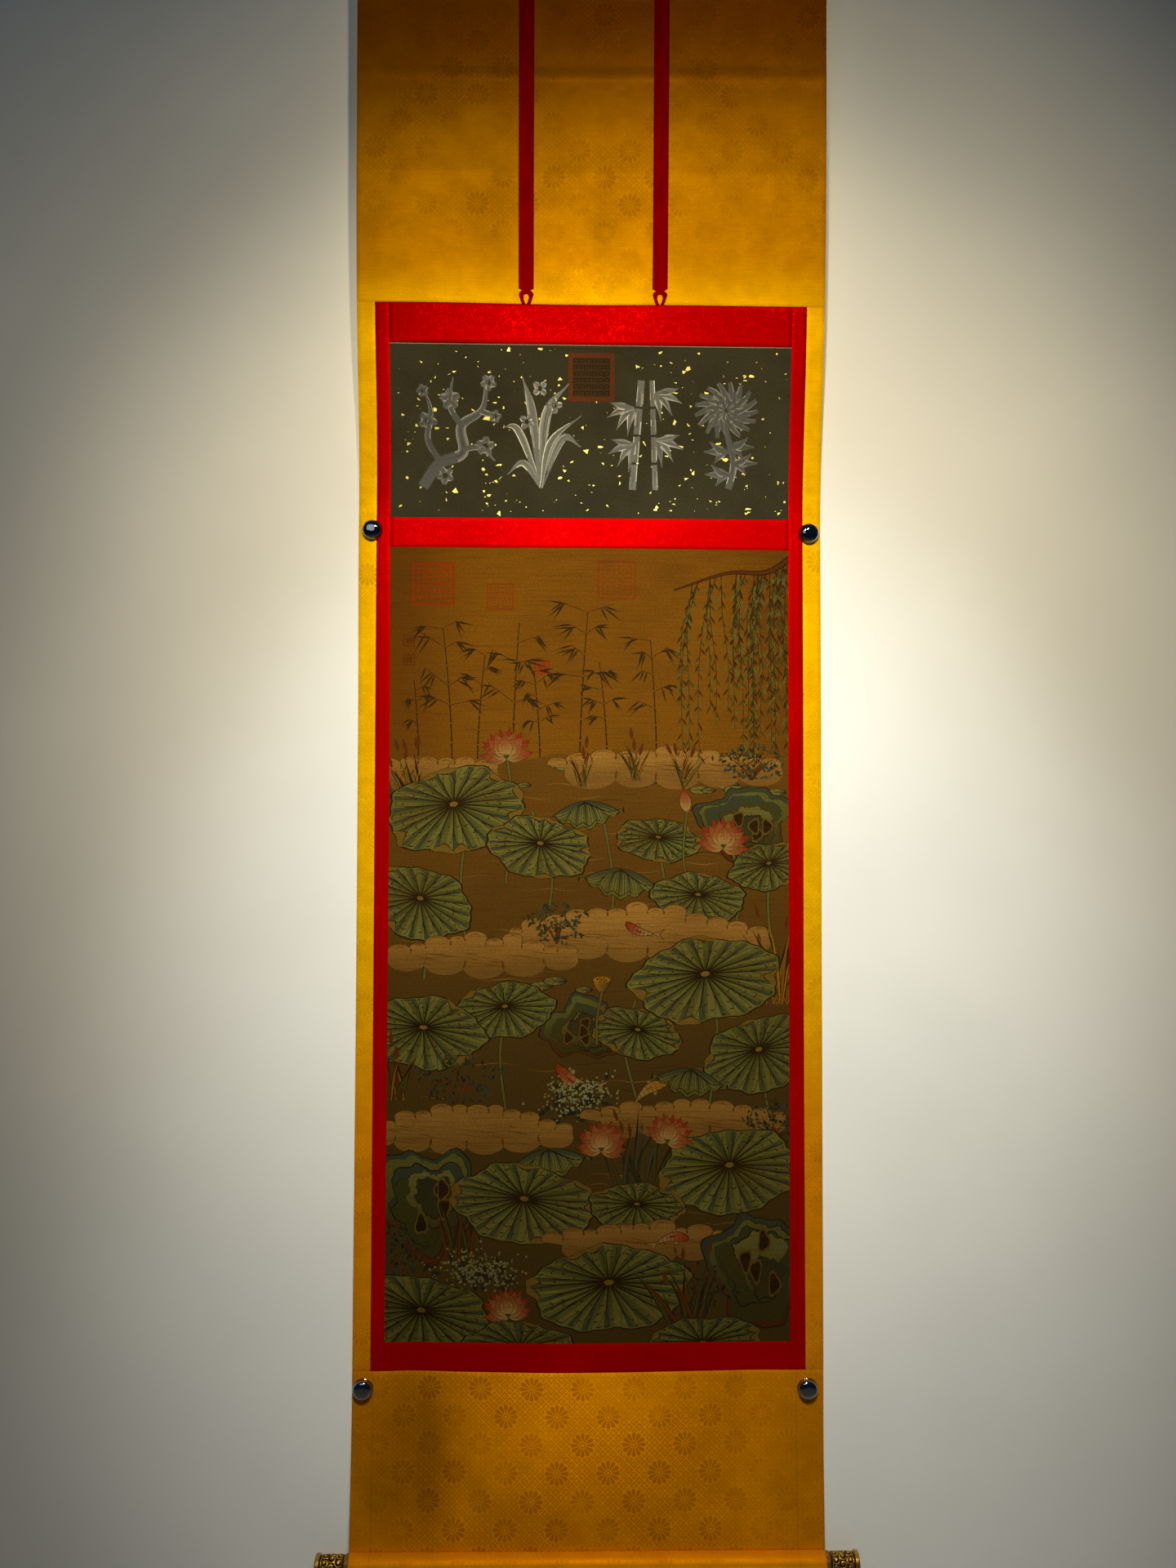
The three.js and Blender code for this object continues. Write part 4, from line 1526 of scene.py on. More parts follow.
    def side_leaf(self, x: float, down: float, radius: float, turn: float, gloom: float) -> None:
        """A drooping leaf seen from the side, like a half-shut parasol with a scalloped hem.

        Args:
            x: Its crown across.
            down: Its crown down.
            radius: Half its width.
            turn: How far it leans, in radians.
            gloom: Share that its colours are darkened to.
        """
        hand, box, sketch = self.hand, self.box, self.sketch
        lean = np.array([[math.cos(turn), -math.sin(turn)], [math.sin(turn), math.cos(turn)]])
        across = np.linspace(-1, 1, 41)
        hem = (0.62 - 0.22 * across**2 + 0.05 * np.sin(across * 17 + hand.uniform(0, 3))
               + 0.1 * np.cos(across * 3.0))
        crown = 0.42 * np.abs(across) ** 1.9
        outline = np.vstack([np.stack([across, crown], 1), np.stack([across, hem], 1)[::-1]]) * radius

        def placed(points: Points) -> Points:
            """Places on the picture of points on the upright leaf."""
            return points @ lean.T + (x, down)

        ink, pale = shade(box.ink, gloom), shade(box.pale_green, gloom)
        middle = np.array([0.0, 0.3 * radius])
        sketch.patch(placed(middle + (outline - middle) * (1 + 2.4 / radius)), Plain(ink))
        sketch.patch(placed(outline), Wash(shade(box.azurite, gloom), shade(box.malachite, gloom),
                                           tuple(placed(np.zeros((1, 2)))[0]),
                                           tuple(placed(2 * middle[None])[0])))
        for number, end in enumerate(np.linspace(-0.93, 0.93, 13)):
            row = int(round((end + 1) * 20))
            tip = np.array([across[row], hem[row]]) * radius
            bend = np.array([end * 0.62, 0.16 + 0.2 * end**2]) * radius
            line = placed(smooth_line([(0.0, 0.02 * radius), tuple(bend), tuple(tip)], 5))
            if number % 2:
                sketch.stroke(line, taper(len(line), radius * 0.1, 0.1, 0.8, 0.9), Plain(pale))
            sketch.stroke(line, np.linspace(1.5, 0.6, len(line)), Plain(ink))
        fold = placed(np.stack([across, hem - 0.09 * (1 - across**2)], 1)[4:-4] * radius)
        sketch.stroke(fold, taper(len(fold), 1.2), Plain(ink))

    def petal(self, base: tuple[float, float], angle: float, length: float, width: float, bend: float,
              foot: Colour, tip: Colour) -> None:
        """One pointed petal with a dark edge and a few fine veins.

        Args:
            base: Where it grows from.
            angle: Its lean from upright, in radians.
            length: Its length.
            width: Its greatest width.
            bend: How far its tip swings aside, as a share of its length.
            foot: Colour at its foot.
            tip: Colour at its tip.
        """
        share = np.linspace(0, 1, 10)
        way = np.array([math.sin(angle), -math.cos(angle)])
        side = np.array([math.cos(angle), math.sin(angle)])
        spine = np.array(base) + np.outer(share * length, way) + np.outer(share**2 * bend * length, side)
        half = width / 2 * (0.3 * (1 - share) + np.sin(np.pi * share**0.85)) * (1 - share**7)
        for grow, paint in ((0.55, Plain(shade(self.box.russet, 0.7))),
                            (0.0, Wash(foot, tip, base, tuple(spine[-1])))):
            edge = np.outer(half + grow, side)
            self.sketch.patch(np.vstack([spine + edge, (spine - edge)[::-1]]), paint)
        for offset in (-0.42, 0.0, 0.42):
            line = (spine + np.outer(half * offset, side))[1:-1]
            self.sketch.stroke(line, taper(len(line), 0.5), Plain(shade(tip, 0.72)))

    def flower(self, x: float, down: float, size: float, lean: float, openness: float) -> None:
        """An open lotus flower seen from the side.

        Args:
            x: Foot of the flower across.
            down: Foot of the flower down.
            size: Length of its petals.
            lean: Its lean from upright, in radians.
            openness: How widely its petals spread, from 0 to 1.
        """
        box, hand = self.box, self.hand
        rows = (
            ((-62, -34, -8, 18, 44, 70), 1.0, 0.34, box.rose, box.vermilion),
            ((-96, -72, 74, 98), 0.92, 0.34, box.shell, box.vermilion),
            ((-50, -22, 6, 30, 54), 0.9, 0.38, box.shell, box.rose),
            ((-112, 112), 0.74, 0.32, box.shell, box.rose),
            ((-78, 80), 0.7, 0.36, box.shell, box.rose),
            ((-36, 34, 0), 0.72, 0.42, shade(box.shell, 1.1), box.rose),
        )
        for angles, length, width, foot, tip in rows:
            for angle in angles:
                turn = math.radians(angle) * openness + lean + hand.uniform(-0.05, 0.05)
                bend = 0.12 * math.sin(math.radians(angle)) * -1
                self.petal((x, down), turn, size * length * hand.uniform(0.94, 1.05), size * width, bend,
                           foot, tip)
        calyx = [(x - size * 0.12, down - size * 0.04), (x, down + size * 0.1),
                 (x + size * 0.12, down - size * 0.04)]
        self.sketch.patch(smooth_line(calyx, 4), Plain(box.deep_green))

    def bud(self, x: float, down: float, size: float, lean: float) -> None:
        """A closed bud on its stalk's end.

        Args:
            x: Foot of the bud across.
            down: Foot of the bud down.
            size: Its length.
            lean: Its lean from upright, in radians.
        """
        box = self.box
        for angle, bend, width in ((-0.22, 0.2, 0.34), (0.22, -0.2, 0.34), (0.0, 0.0, 0.4)):
            self.petal((x, down), lean + angle, size, size * width, bend, box.shell, box.vermilion)

    def pod(self, x: float, down: float, size: float) -> None:
        """A seed head like the rose of a watering can, with its seeds.

        Args:
            x: Its middle across.
            down: Its upper face down.
            size: Its width.
        """
        box, sketch = self.box, self.sketch
        half = size / 2
        body = smooth_line([(x - half, down), (x - half * 0.8, down + half * 0.6),
                            (x - half * 0.2, down + size * 0.75), (x + half * 0.2, down + size * 0.75),
                            (x + half * 0.8, down + half * 0.6), (x + half, down)], 4)
        sketch.stroke(body, 1.4, Plain(box.ink))
        sketch.patch(body,
                     Wash(box.bright_ochre, box.deep_green, (x - half, down), (x + half, down + half)))
        angles = np.linspace(0, TURN, 20, endpoint=False)
        ring = np.stack([np.cos(angles) * half, np.sin(angles) * half * 0.36], 1) + (x, down)
        sketch.patch(ring * 1.0 + (ring - (x, down)) * 0.08, Plain(box.ink))
        sketch.patch(ring, Plain(box.bright_ochre))
        seeds = np.array([(0, 0), (-0.5, -0.05), (0.5, 0.05), (-0.2, 0.17), (0.25, -0.16), (-0.22, -0.17),
                          (0.28, 0.18)])
        sketch.dots(seeds * half + (x, down), np.full(7, size * 0.11), Plain(box.ink))

    def stalk(self, points: Sequence[tuple[float, float]], width: float, gloom: float = 1.0) -> None:
        """A stalk with a dark edge and tiny prickles.

        Args:
            points: Places that it passes through, from its foot.
            width: Its width.
            gloom: Share that its colours are darkened to.
        """
        line = smooth_line(points, 7)
        self.sketch.stroke(line, width + 1.3, Plain(shade(self.box.ink, gloom)))
        self.sketch.stroke(line, width, Plain(shade(self.box.malachite, gloom)))
        thorns = line[2::3] + self.hand.uniform(-width / 2, width / 2, (len(line[2::3]), 2))
        self.sketch.dots(thorns, np.full(len(thorns), 0.9), Plain(shade(self.box.ink, gloom)))

    def blade(self, x: float, down: float, length: float, angle: float, bend: float,
              width: float, paint: Paint,
              medium: Medium = Medium.GROUND) -> None:
        """A long narrow leaf that arches over.

        Args:
            x: Its foot across.
            down: Its foot down.
            length: Its length.
            angle: Its lean from upright, in radians.
            bend: How far its tip falls, as a share of its length.
            width: Its greatest width.
            paint: Its paint.
            medium: What it is laid down in.
        """
        share = np.linspace(0, 1, 13)
        way, side = (math.sin(angle), -math.cos(angle)), (math.copysign(1, angle or bend) * 0.55, 0.85)
        line = (np.array((x, down)) + np.outer(share * length, way)
                + np.outer(share**2.2 * bend * length, side))
        self.sketch.stroke(line, taper(13, width, 0.35, 0.0, 0.3), paint, medium)

    def reeds(self, x: float, down: float, length: float, count: int, paints: Sequence[Colour]) -> None:
        """A tuft of reeds, with a seed head on some.

        Args:
            x: Middle of its foot.
            down: Its foot down.
            length: Length of the longest.
            count: How many blades.
            paints: Colours that the blades take in turn.
        """
        hand, box = self.hand, self.box
        for number in range(count):
            foot = x + hand.normal(0, length * 0.07)
            angle = hand.normal(0, 0.24)
            tall = length * hand.uniform(0.55, 1.0)
            colour = paints[number % len(paints)]
            self.blade(foot, down, tall, angle, hand.uniform(0.05, 0.3), length * 0.028 + 1.6,
                       Plain(shade(box.ink, 1.2)))
            self.blade(foot, down, tall * 0.99, angle, 0.16, length * 0.02 + 0.8, Plain(colour))
            if number % 4 == 0:
                top = np.array((foot + math.sin(angle) * tall * 0.9, down - math.cos(angle) * tall * 0.9))
                tail = top + (math.sin(angle) * 15, -math.cos(angle) * 15)
                self.sketch.stroke(np.linspace(top, tail, 7), taper(7, 5.0, 0.5, 0.4), Plain(box.russet))

    def mist(self, x: float, down: float, width: float, height: float, lobes: int,
             gloom: float = 1.0) -> None:
        """A bank of mist with lobed edges and fine lines that follow them.

        Args:
            x: Its middle across.
            down: Its middle down.
            width: Its width.
            height: Its height.
            lobes: Lobes along its upper edge.
            gloom: Share that its colours are darkened to.
        """
        hand, sketch = self.hand, self.sketch
        cream, line_colour = shade(self.box.mist, gloom), shade(self.box.mist_line, gloom)
        ends = np.linspace(-0.5, 0.5, lobes + 1) + np.append(hand.uniform(-0.25, 0.25, lobes) / lobes, 0)

        def scallops(spans: Iterable[tuple[float, float]], rise: float, way: int) -> list[Points]:
            """Round lobes along one edge of the bank, from end to end."""
            arcs = []
            for start, end in spans:
                turn = np.linspace(-0.12, 1.12, 13) * math.pi
                swell = rise * max(0.1, 1 - abs(start + end) ** 1.6) * hand.uniform(0.7, 1.2)
                half = (end - start) / 2 * width
                across = (start + end) / 2 * width - half * 1.08 * np.cos(turn)
                lift = way * (0.45 * swell + abs(half) * 0.62 * (0.3 + np.sin(turn)))
                arcs.append(np.stack([across, lift], 1))
            return arcs

        upper = scallops(zip(ends, ends[1:]), height, -1)
        lower = scallops(zip(ends[::-2], ends[-3::-2]), height * 0.5, 1)
        outline = np.vstack([*upper, *lower]) + (x, down)
        sketch.patch(outline,
                     Wash(cream, shade(cream, 0.62), (x, down - height * 0.5), (x, down + height * 0.5)))
        sketch.stroke(np.vstack(upper) + (x, down), 0.9, Plain(line_colour))
        for arc in upper:
            heart = arc.mean(axis=0) + (0, 2)
            for share in (0.74, 0.48):
                if hand.random() < 0.75:
                    line = (heart + (arc - heart) * share)[1 + hand.integers(0, 3):12] + (x, down)
                    sketch.stroke(line, taper(len(line), 0.9), Plain(line_colour))
        for _ in range(lobes * 2):
            middle, long = hand.uniform(-0.36, 0.36) * width, hand.uniform(0.03, 0.1) * width
            across = np.linspace(-long, long, 7)
            level = hand.uniform(-0.12, 0.3) * height
            line = np.stack([x + middle + across, down + level + 1.4 * np.sin(across / 9)], 1)
            sketch.stroke(line, taper(7, 0.9), Plain(shade(line_colour, hand.uniform(1.0, 1.5))))

    def koi(self, x: float, down: float, length: float, angle: float, bend: float, tone: Colour) -> None:
        """A carp seen from above.

        Args:
            x: Its nose across.
            down: Its nose down.
            length: Its length without the tail fin.
            angle: Direction from nose to tail, in radians.
            bend: How far its body bows, as a share of its length.
            tone: Colour of its back.
        """
        box, sketch = self.box, self.sketch
        share = np.linspace(0, 1, 17)
        way = np.array([math.cos(angle), math.sin(angle)])
        side = np.array([-way[1], way[0]])
        spine = (np.array((x, down)) + np.outer(share * length, way)
                 + np.outer(np.sin(np.pi * share) * bend * length, side))
        half = length * 0.135 * np.sin(np.pi * np.clip(share, 0.03, 0.97) ** 0.6) ** 0.8
        tail_way = (spine[-1] - spine[-3]) / np.linalg.norm(spine[-1] - spine[-3])
        tail_side = np.array([-tail_way[1], tail_way[0]])
        root = spine[-2]
        for turn in (-1, 1):
            fin = smooth_line([tuple(root),
                               tuple(root + tail_way * length * 0.2 + tail_side * turn * length * 0.08),
                               tuple(root + tail_way * length * 0.4 + tail_side * turn * length * 0.17),
                               tuple(root + tail_way * length * 0.22 + tail_side * turn * length * 0.01)],
                              4)
            sketch.patch(fin, Plain(shade(box.shell, 0.85)))
            sketch.stroke(fin, 0.8, Plain(box.russet))
            shoulder = spine[5] + side * turn * half[5] * 0.8
            flipper = smooth_line([tuple(shoulder),
                                   tuple(shoulder + side * turn * length * 0.12 + way * length * 0.05),
                                   tuple(shoulder + side * turn * length * 0.1 + way * length * 0.14),
                                   tuple(spine[7] + side * turn * half[7] * 0.8)], 4)
            sketch.patch(flipper, Plain(shade(box.shell, 0.8)))
            sketch.stroke(flipper, 0.7, Plain(box.russet))
        body = np.vstack([spine + side * half[:, None], (spine - side * half[:, None])[::-1]])
        sketch.stroke(np.vstack([body, body[:1]]), 1.5, Plain(box.ink))
        sketch.patch(body, Wash(tone, box.shell, tuple(spine[0] - side * half.max()),
                                tuple(spine[-1] + side * half.max())))
        for row in range(4, 15, 2):
            for offset in (-0.55, 0.0, 0.55):
                centre = spine[row] + side * half[row] * offset
                turns = np.linspace(-1.1, 1.1, 5)
                scale = (centre + np.outer(np.cos(turns), way * 2.2)
                         + np.outer(np.sin(turns), side * half[row] * 0.3))
                sketch.stroke(scale, 0.6, Plain(shade(box.russet, 0.9)))
        fin_line = spine[5:12] + side * 0.3
        sketch.stroke(fin_line, taper(7, length * 0.05), Plain(shade(tone, 0.6)))
        eyes = np.array([spine[2] + side * half[2] * 0.8, spine[2] - side * half[2] * 0.8])
        sketch.dots(eyes, np.full(2, length * 0.035), Plain(box.ink))

    def rock(self, x: float, down: float, width: float, height: float, gloom: float) -> None:
        """A water-worn garden rock with dark holes and lines that wind round them.

        Args:
            x: Its middle across.
            down: Its middle down.
            width: Its width.
            height: Its height.
            gloom: Share that its colours are darkened to.
        """
        hand, box, sketch = self.hand, self.box, self.sketch
        angles = np.linspace(0, TURN, 72, endpoint=False)
        phase = hand.uniform(0, TURN, 4)
        reach = 1 + 0.12 * np.sin(3 * angles + phase[0]) + 0.09 * np.sin(5 * angles + phase[1])
        reach += 0.06 * np.sin(8 * angles + phase[2]) + 0.03 * np.sin(15 * angles + phase[3])
        ring = np.stack([np.cos(angles) * reach * width / 2, np.sin(angles) * reach * height / 2], 1)
        ink = shade(box.ink, gloom)
        sketch.patch(ring * (1 + 3 / width) + (x, down), Plain(ink))
        sketch.patch(ring + (x, down), Wash(shade(box.azurite, gloom), shade(box.russet, gloom * 0.8),
                                            (x, down - height * 0.4), (x, down + height * 0.55)))
        holes = hand.uniform(-0.26, 0.26, (4, 2)) * (width, height)
        for number, share in enumerate((0.9, 0.77, 0.63, 0.5, 0.37)):
            drift = holes[number % 4] * (1 - share) * 0.8
            inner = ring * share + drift + hand.normal(0, 0.8, ring.shape) + (x, down)
            tone = (box.malachite, box.azurite, box.deep_green, box.pale_green, box.deep_azurite)[number]
            sketch.patch(inner, Wash(shade(tone, gloom), shade(box.deep_green, gloom * 0.8),
                                     (x, down - height * 0.4), (x, down + height * 0.4)))
            cut = hand.integers(0, 72)
            turned = np.roll(inner, cut, axis=0)[:52]
            sketch.stroke(turned, taper(52, 1.7, 0.2), Plain(ink))
        small = np.linspace(0, TURN, 14, endpoint=False)
        for hole in holes:
            oval = np.stack([np.cos(small) * width * 0.05, np.sin(small) * height * 0.085], 1)
            oval *= (1 + 0.2 * np.sin(3 * small + hole[0]))[:, None]
            sketch.patch(oval * 1.3 + hole + (x, down), Plain(shade(box.underleaf, gloom * 0.7)))
            sketch.patch(oval + hole + (x, down), Plain(ink))

    def blossom_cloud(self, x: float, down: float, spread: tuple[float, float], count: int,
                      colour: Colour) -> None:
        """A low cloud of tiny pale blossoms over dark leaves.

        Args:
            x: Its middle across.
            down: Its middle down.
            spread: How far it reaches across and down.
            count: How many blossoms.
            colour: Their colour.
        """
        centres = self.hand.normal(0, 0.42, (count, 2)) * spread + (x, down)
        for number in range(count // 6):
            foot = centres[number]
            self.blade(foot[0], foot[1] + 8, 15, self.hand.normal(0, 0.7), 0.2, 5.5,
                       Plain(shade(self.box.deep_azurite, 0.7)))
        sizes = self.hand.uniform(1.8, 3.6, count)
        self.sketch.dots(centres, sizes, Plain(colour))
        self.sketch.dots(centres[::3] + 0.5, sizes[::3] * 0.4, Plain(self.box.ink))

    def willow(self, x: float, down: float, strands: int, length: float) -> None:
        """Willow strands that hang from a bough.

        Args:
            x: Where the bough starts across.
            down: Where the bough starts down.
            strands: How many strands hang.
            length: Length of the longest.
        """
        hand, box, sketch = self.hand, self.box, self.sketch
        bough = smooth_line([(x, down), (x - 34, down + 20), (x - 84, down + 22), (x - 150, down + 44)], 9)
        sketch.stroke(bough, np.linspace(9, 2.4, len(bough)), Plain(box.ink))
        sketch.stroke(bough, np.linspace(6, 1.0, len(bough)), Plain(box.russet))
        for number in range(strands):
            start = bough[int(hand.uniform(0.1, 0.98) * (len(bough) - 1))]
            fall = length * hand.uniform(0.45, 1.0)
            swing = hand.uniform(-26, 10)
            line = smooth_line([tuple(start), (start[0] + swing * 0.6 - 4, start[1] + fall * 0.3),
                                (start[0] + swing, start[1] + fall * 0.65),
                                (start[0] + swing * 0.9, start[1] + fall)], 8)
            sketch.stroke(line, np.linspace(1.2, 0.5, len(line)), Plain(box.soft_ink))
            steps = max(6, int(fall / 7.5))
            for step, place in enumerate(np.linspace(0.08, 0.99, steps)):
                root = line[int(place * (len(line) - 1))]
                angle = math.pi + (0.5 if step % 2 else -0.5) * hand.uniform(0.6, 1.3)
                tone = (box.deep_green, box.malachite, box.soft_ink)[(step + number) % 3]
                long = hand.uniform(9, 14)
                tip = root + (math.sin(angle) * long, -math.cos(angle) * long)
                sketch.stroke(np.linspace(root, tip, 5), taper(5, 2.5, 0.1), Plain(tone))

    def bamboo(self, x: float, down: float, height: float, lean: float, paint: Paint, weight: float,
               medium: Medium = Medium.GROUND) -> None:
        """A slim stem of bamboo with its leaves, all in one ink.

        Args:
            x: Its foot across.
            down: Its foot down.
            height: Its height.
            lean: How far its top swings aside.
            paint: Its ink.
            weight: Width of the stem.
            medium: What it is laid down in.
        """
        hand = self.hand
        joints = 7
        for number in range(joints):
            low, high = number / joints, (number + 0.9) / joints
            share = np.linspace(low, high, 5)
            line = np.stack([x + lean * share**1.6, down - height * share], 1)
            self.sketch.stroke(line, weight * (1 - 0.5 * low) * np.array([1.2, 0.8, 0.75, 0.8, 1.2]), paint,
                               medium)
            if number < 2 or hand.random() < 0.2:
                continue
            side = 1 if (number + int(abs(x))) % 2 else -1
            for way in (side, -side)[: 1 + (hand.random() < 0.4)]:
                reach = height * hand.uniform(0.08, 0.2)
                twig = line[-1] + (way * reach, -reach * hand.uniform(0.1, 0.8))
                self.sketch.stroke(np.linspace(line[-1], twig, 4), taper(4, weight * 0.4, 0.6, 0.4), paint,
                                   medium)
                for _ in range(hand.integers(3, 6)):
                    root = line[-1] + (twig - line[-1]) * hand.uniform(0.5, 1.0)
                    self.blade(root[0], root[1], height * hand.uniform(0.1, 0.17),
                               way * hand.uniform(1.3, 2.9),
                               0.1, weight * 1.1, paint, medium)

    def bush(self, x: float, down: float, spread: tuple[float, float], count: int, gloom: float) -> None:
        """A dark bush of small leaves, blue black below and greener where it catches the light.

        Args:
            x: Its middle across.
            down: Its middle down.
            spread: How far it reaches across and down.
            count: How many leaves.
            gloom: Share that its colours are darkened to.
        """
        hand, box = self.hand, self.box
        twigs = hand.uniform(-0.8, 0.8, (5, 2)) * spread
        for twig in twigs:
            line = smooth_line([(x, down + spread[1]), (x + twig[0] * 0.4, down + spread[1] * 0.3),
                                (x + twig[0], down + twig[1] * 0.6 - spread[1] * 0.2)], 4)
            self.sketch.stroke(line, taper(len(line), 3.0, 0.8), Plain(box.russet))
        tones = [Plain(shade(tone, gloom))
                 for tone in (box.ink, box.deep_azurite, box.azurite, box.deep_green)]
        leaf = np.array([(-1.0, 0.0), (-0.2, -0.42), (1.0, 0.0), (-0.2, 0.42)])
        for number in range(count):
            angle, reach = hand.uniform(0, TURN), math.sqrt(hand.random())
            lump = 1 + 0.25 * math.sin(5 * angle + x)
            centre = np.array([math.cos(angle) * reach * lump * spread[0],
                               math.sin(angle) * reach * spread[1]])
            turn, long = hand.uniform(0, TURN), hand.uniform(2.4, 4.6)
            way = np.array([[math.cos(turn), math.sin(turn)], [-math.sin(turn), math.cos(turn)]])
            tone = tones[min(3, int(number / count * 3 + hand.random()))]
            self.sketch.patch(leaf * long @ way + centre + (x, down - 1.5 * number / count), tone)

    def shallows(self, top: float, height: float, width: float) -> None:
        """The water: a wash that deepens downwards, under a scalloped shore.

        Args:
            top: Its shore, down.
            height: How far it reaches down.
            width: How far it reaches across.
        """
        box, sketch, hand = self.box, self.sketch, self.hand
        across = np.linspace(-width / 2, width / 2, 90)
        shore = top + 7 * np.sin(across / 38) + 4 * np.sin(across / 13 + 1)
        outline = np.vstack([np.stack([across, shore], 1),
                             [(width / 2, top + height), (-width / 2, top + height)]])
        sketch.patch(outline, Wash(box.water, box.deep_water, (0, top), (0, top + 0.7 * height)))
        for number in range(150):
            level = top + 16 + (height - 20) * hand.random()
            long = hand.uniform(12, 46)
            middle = hand.uniform(-width / 2 + long, width / 2 - long)
            line_x = np.linspace(-long, long, 7)
            line = np.stack([middle + line_x, level + 1.6 * np.sin(line_x / 8 + number)], 1)
            tone = shade(box.mist, 0.62) if number % 3 else shade(box.deep_water, 0.6)
            sketch.stroke(line, taper(7, hand.uniform(0.7, 1.3)), Plain(tone))

    def pads(self, x: float, down: float, width: float, count: int, gloom: float = 1.0) -> None:
        """Small far leaves that float in a loose drift.

        Args:
            x: Middle of the drift across.
            down: Middle of the drift down.
            width: How far it reaches across.
            count: How many leaves.
            gloom: Share that its colours are darkened to.
        """
        box, hand = self.box, self.hand
        turns = np.linspace(0.25, TURN - 0.1, 16)
        for place in np.sort(hand.uniform(-0.5, 0.5, count)):
            half = hand.uniform(7, 15)
            centre = (x + place * width, down + hand.normal(0, 7))
            rim = np.stack([np.cos(turns) * half, np.sin(turns) * half * 0.36], 1)
            self.sketch.patch(rim * (1 + 1.6 / half) + centre, Plain(shade(box.ink, gloom)))
            self.sketch.patch(np.vstack([rim, [(0, 0)]]) + centre, Wash(
                shade(box.pale_green, gloom), shade(box.azurite, gloom), centre,
                (centre[0] + half, centre[1] + 3)))
            for turn in turns[1::3]:
                tip = np.array([math.cos(turn) * half, math.sin(turn) * half * 0.36]) * 0.9
                self.sketch.stroke(np.linspace(centre, tip + centre, 3), 0.5, Plain(shade(box.ink, gloom)))


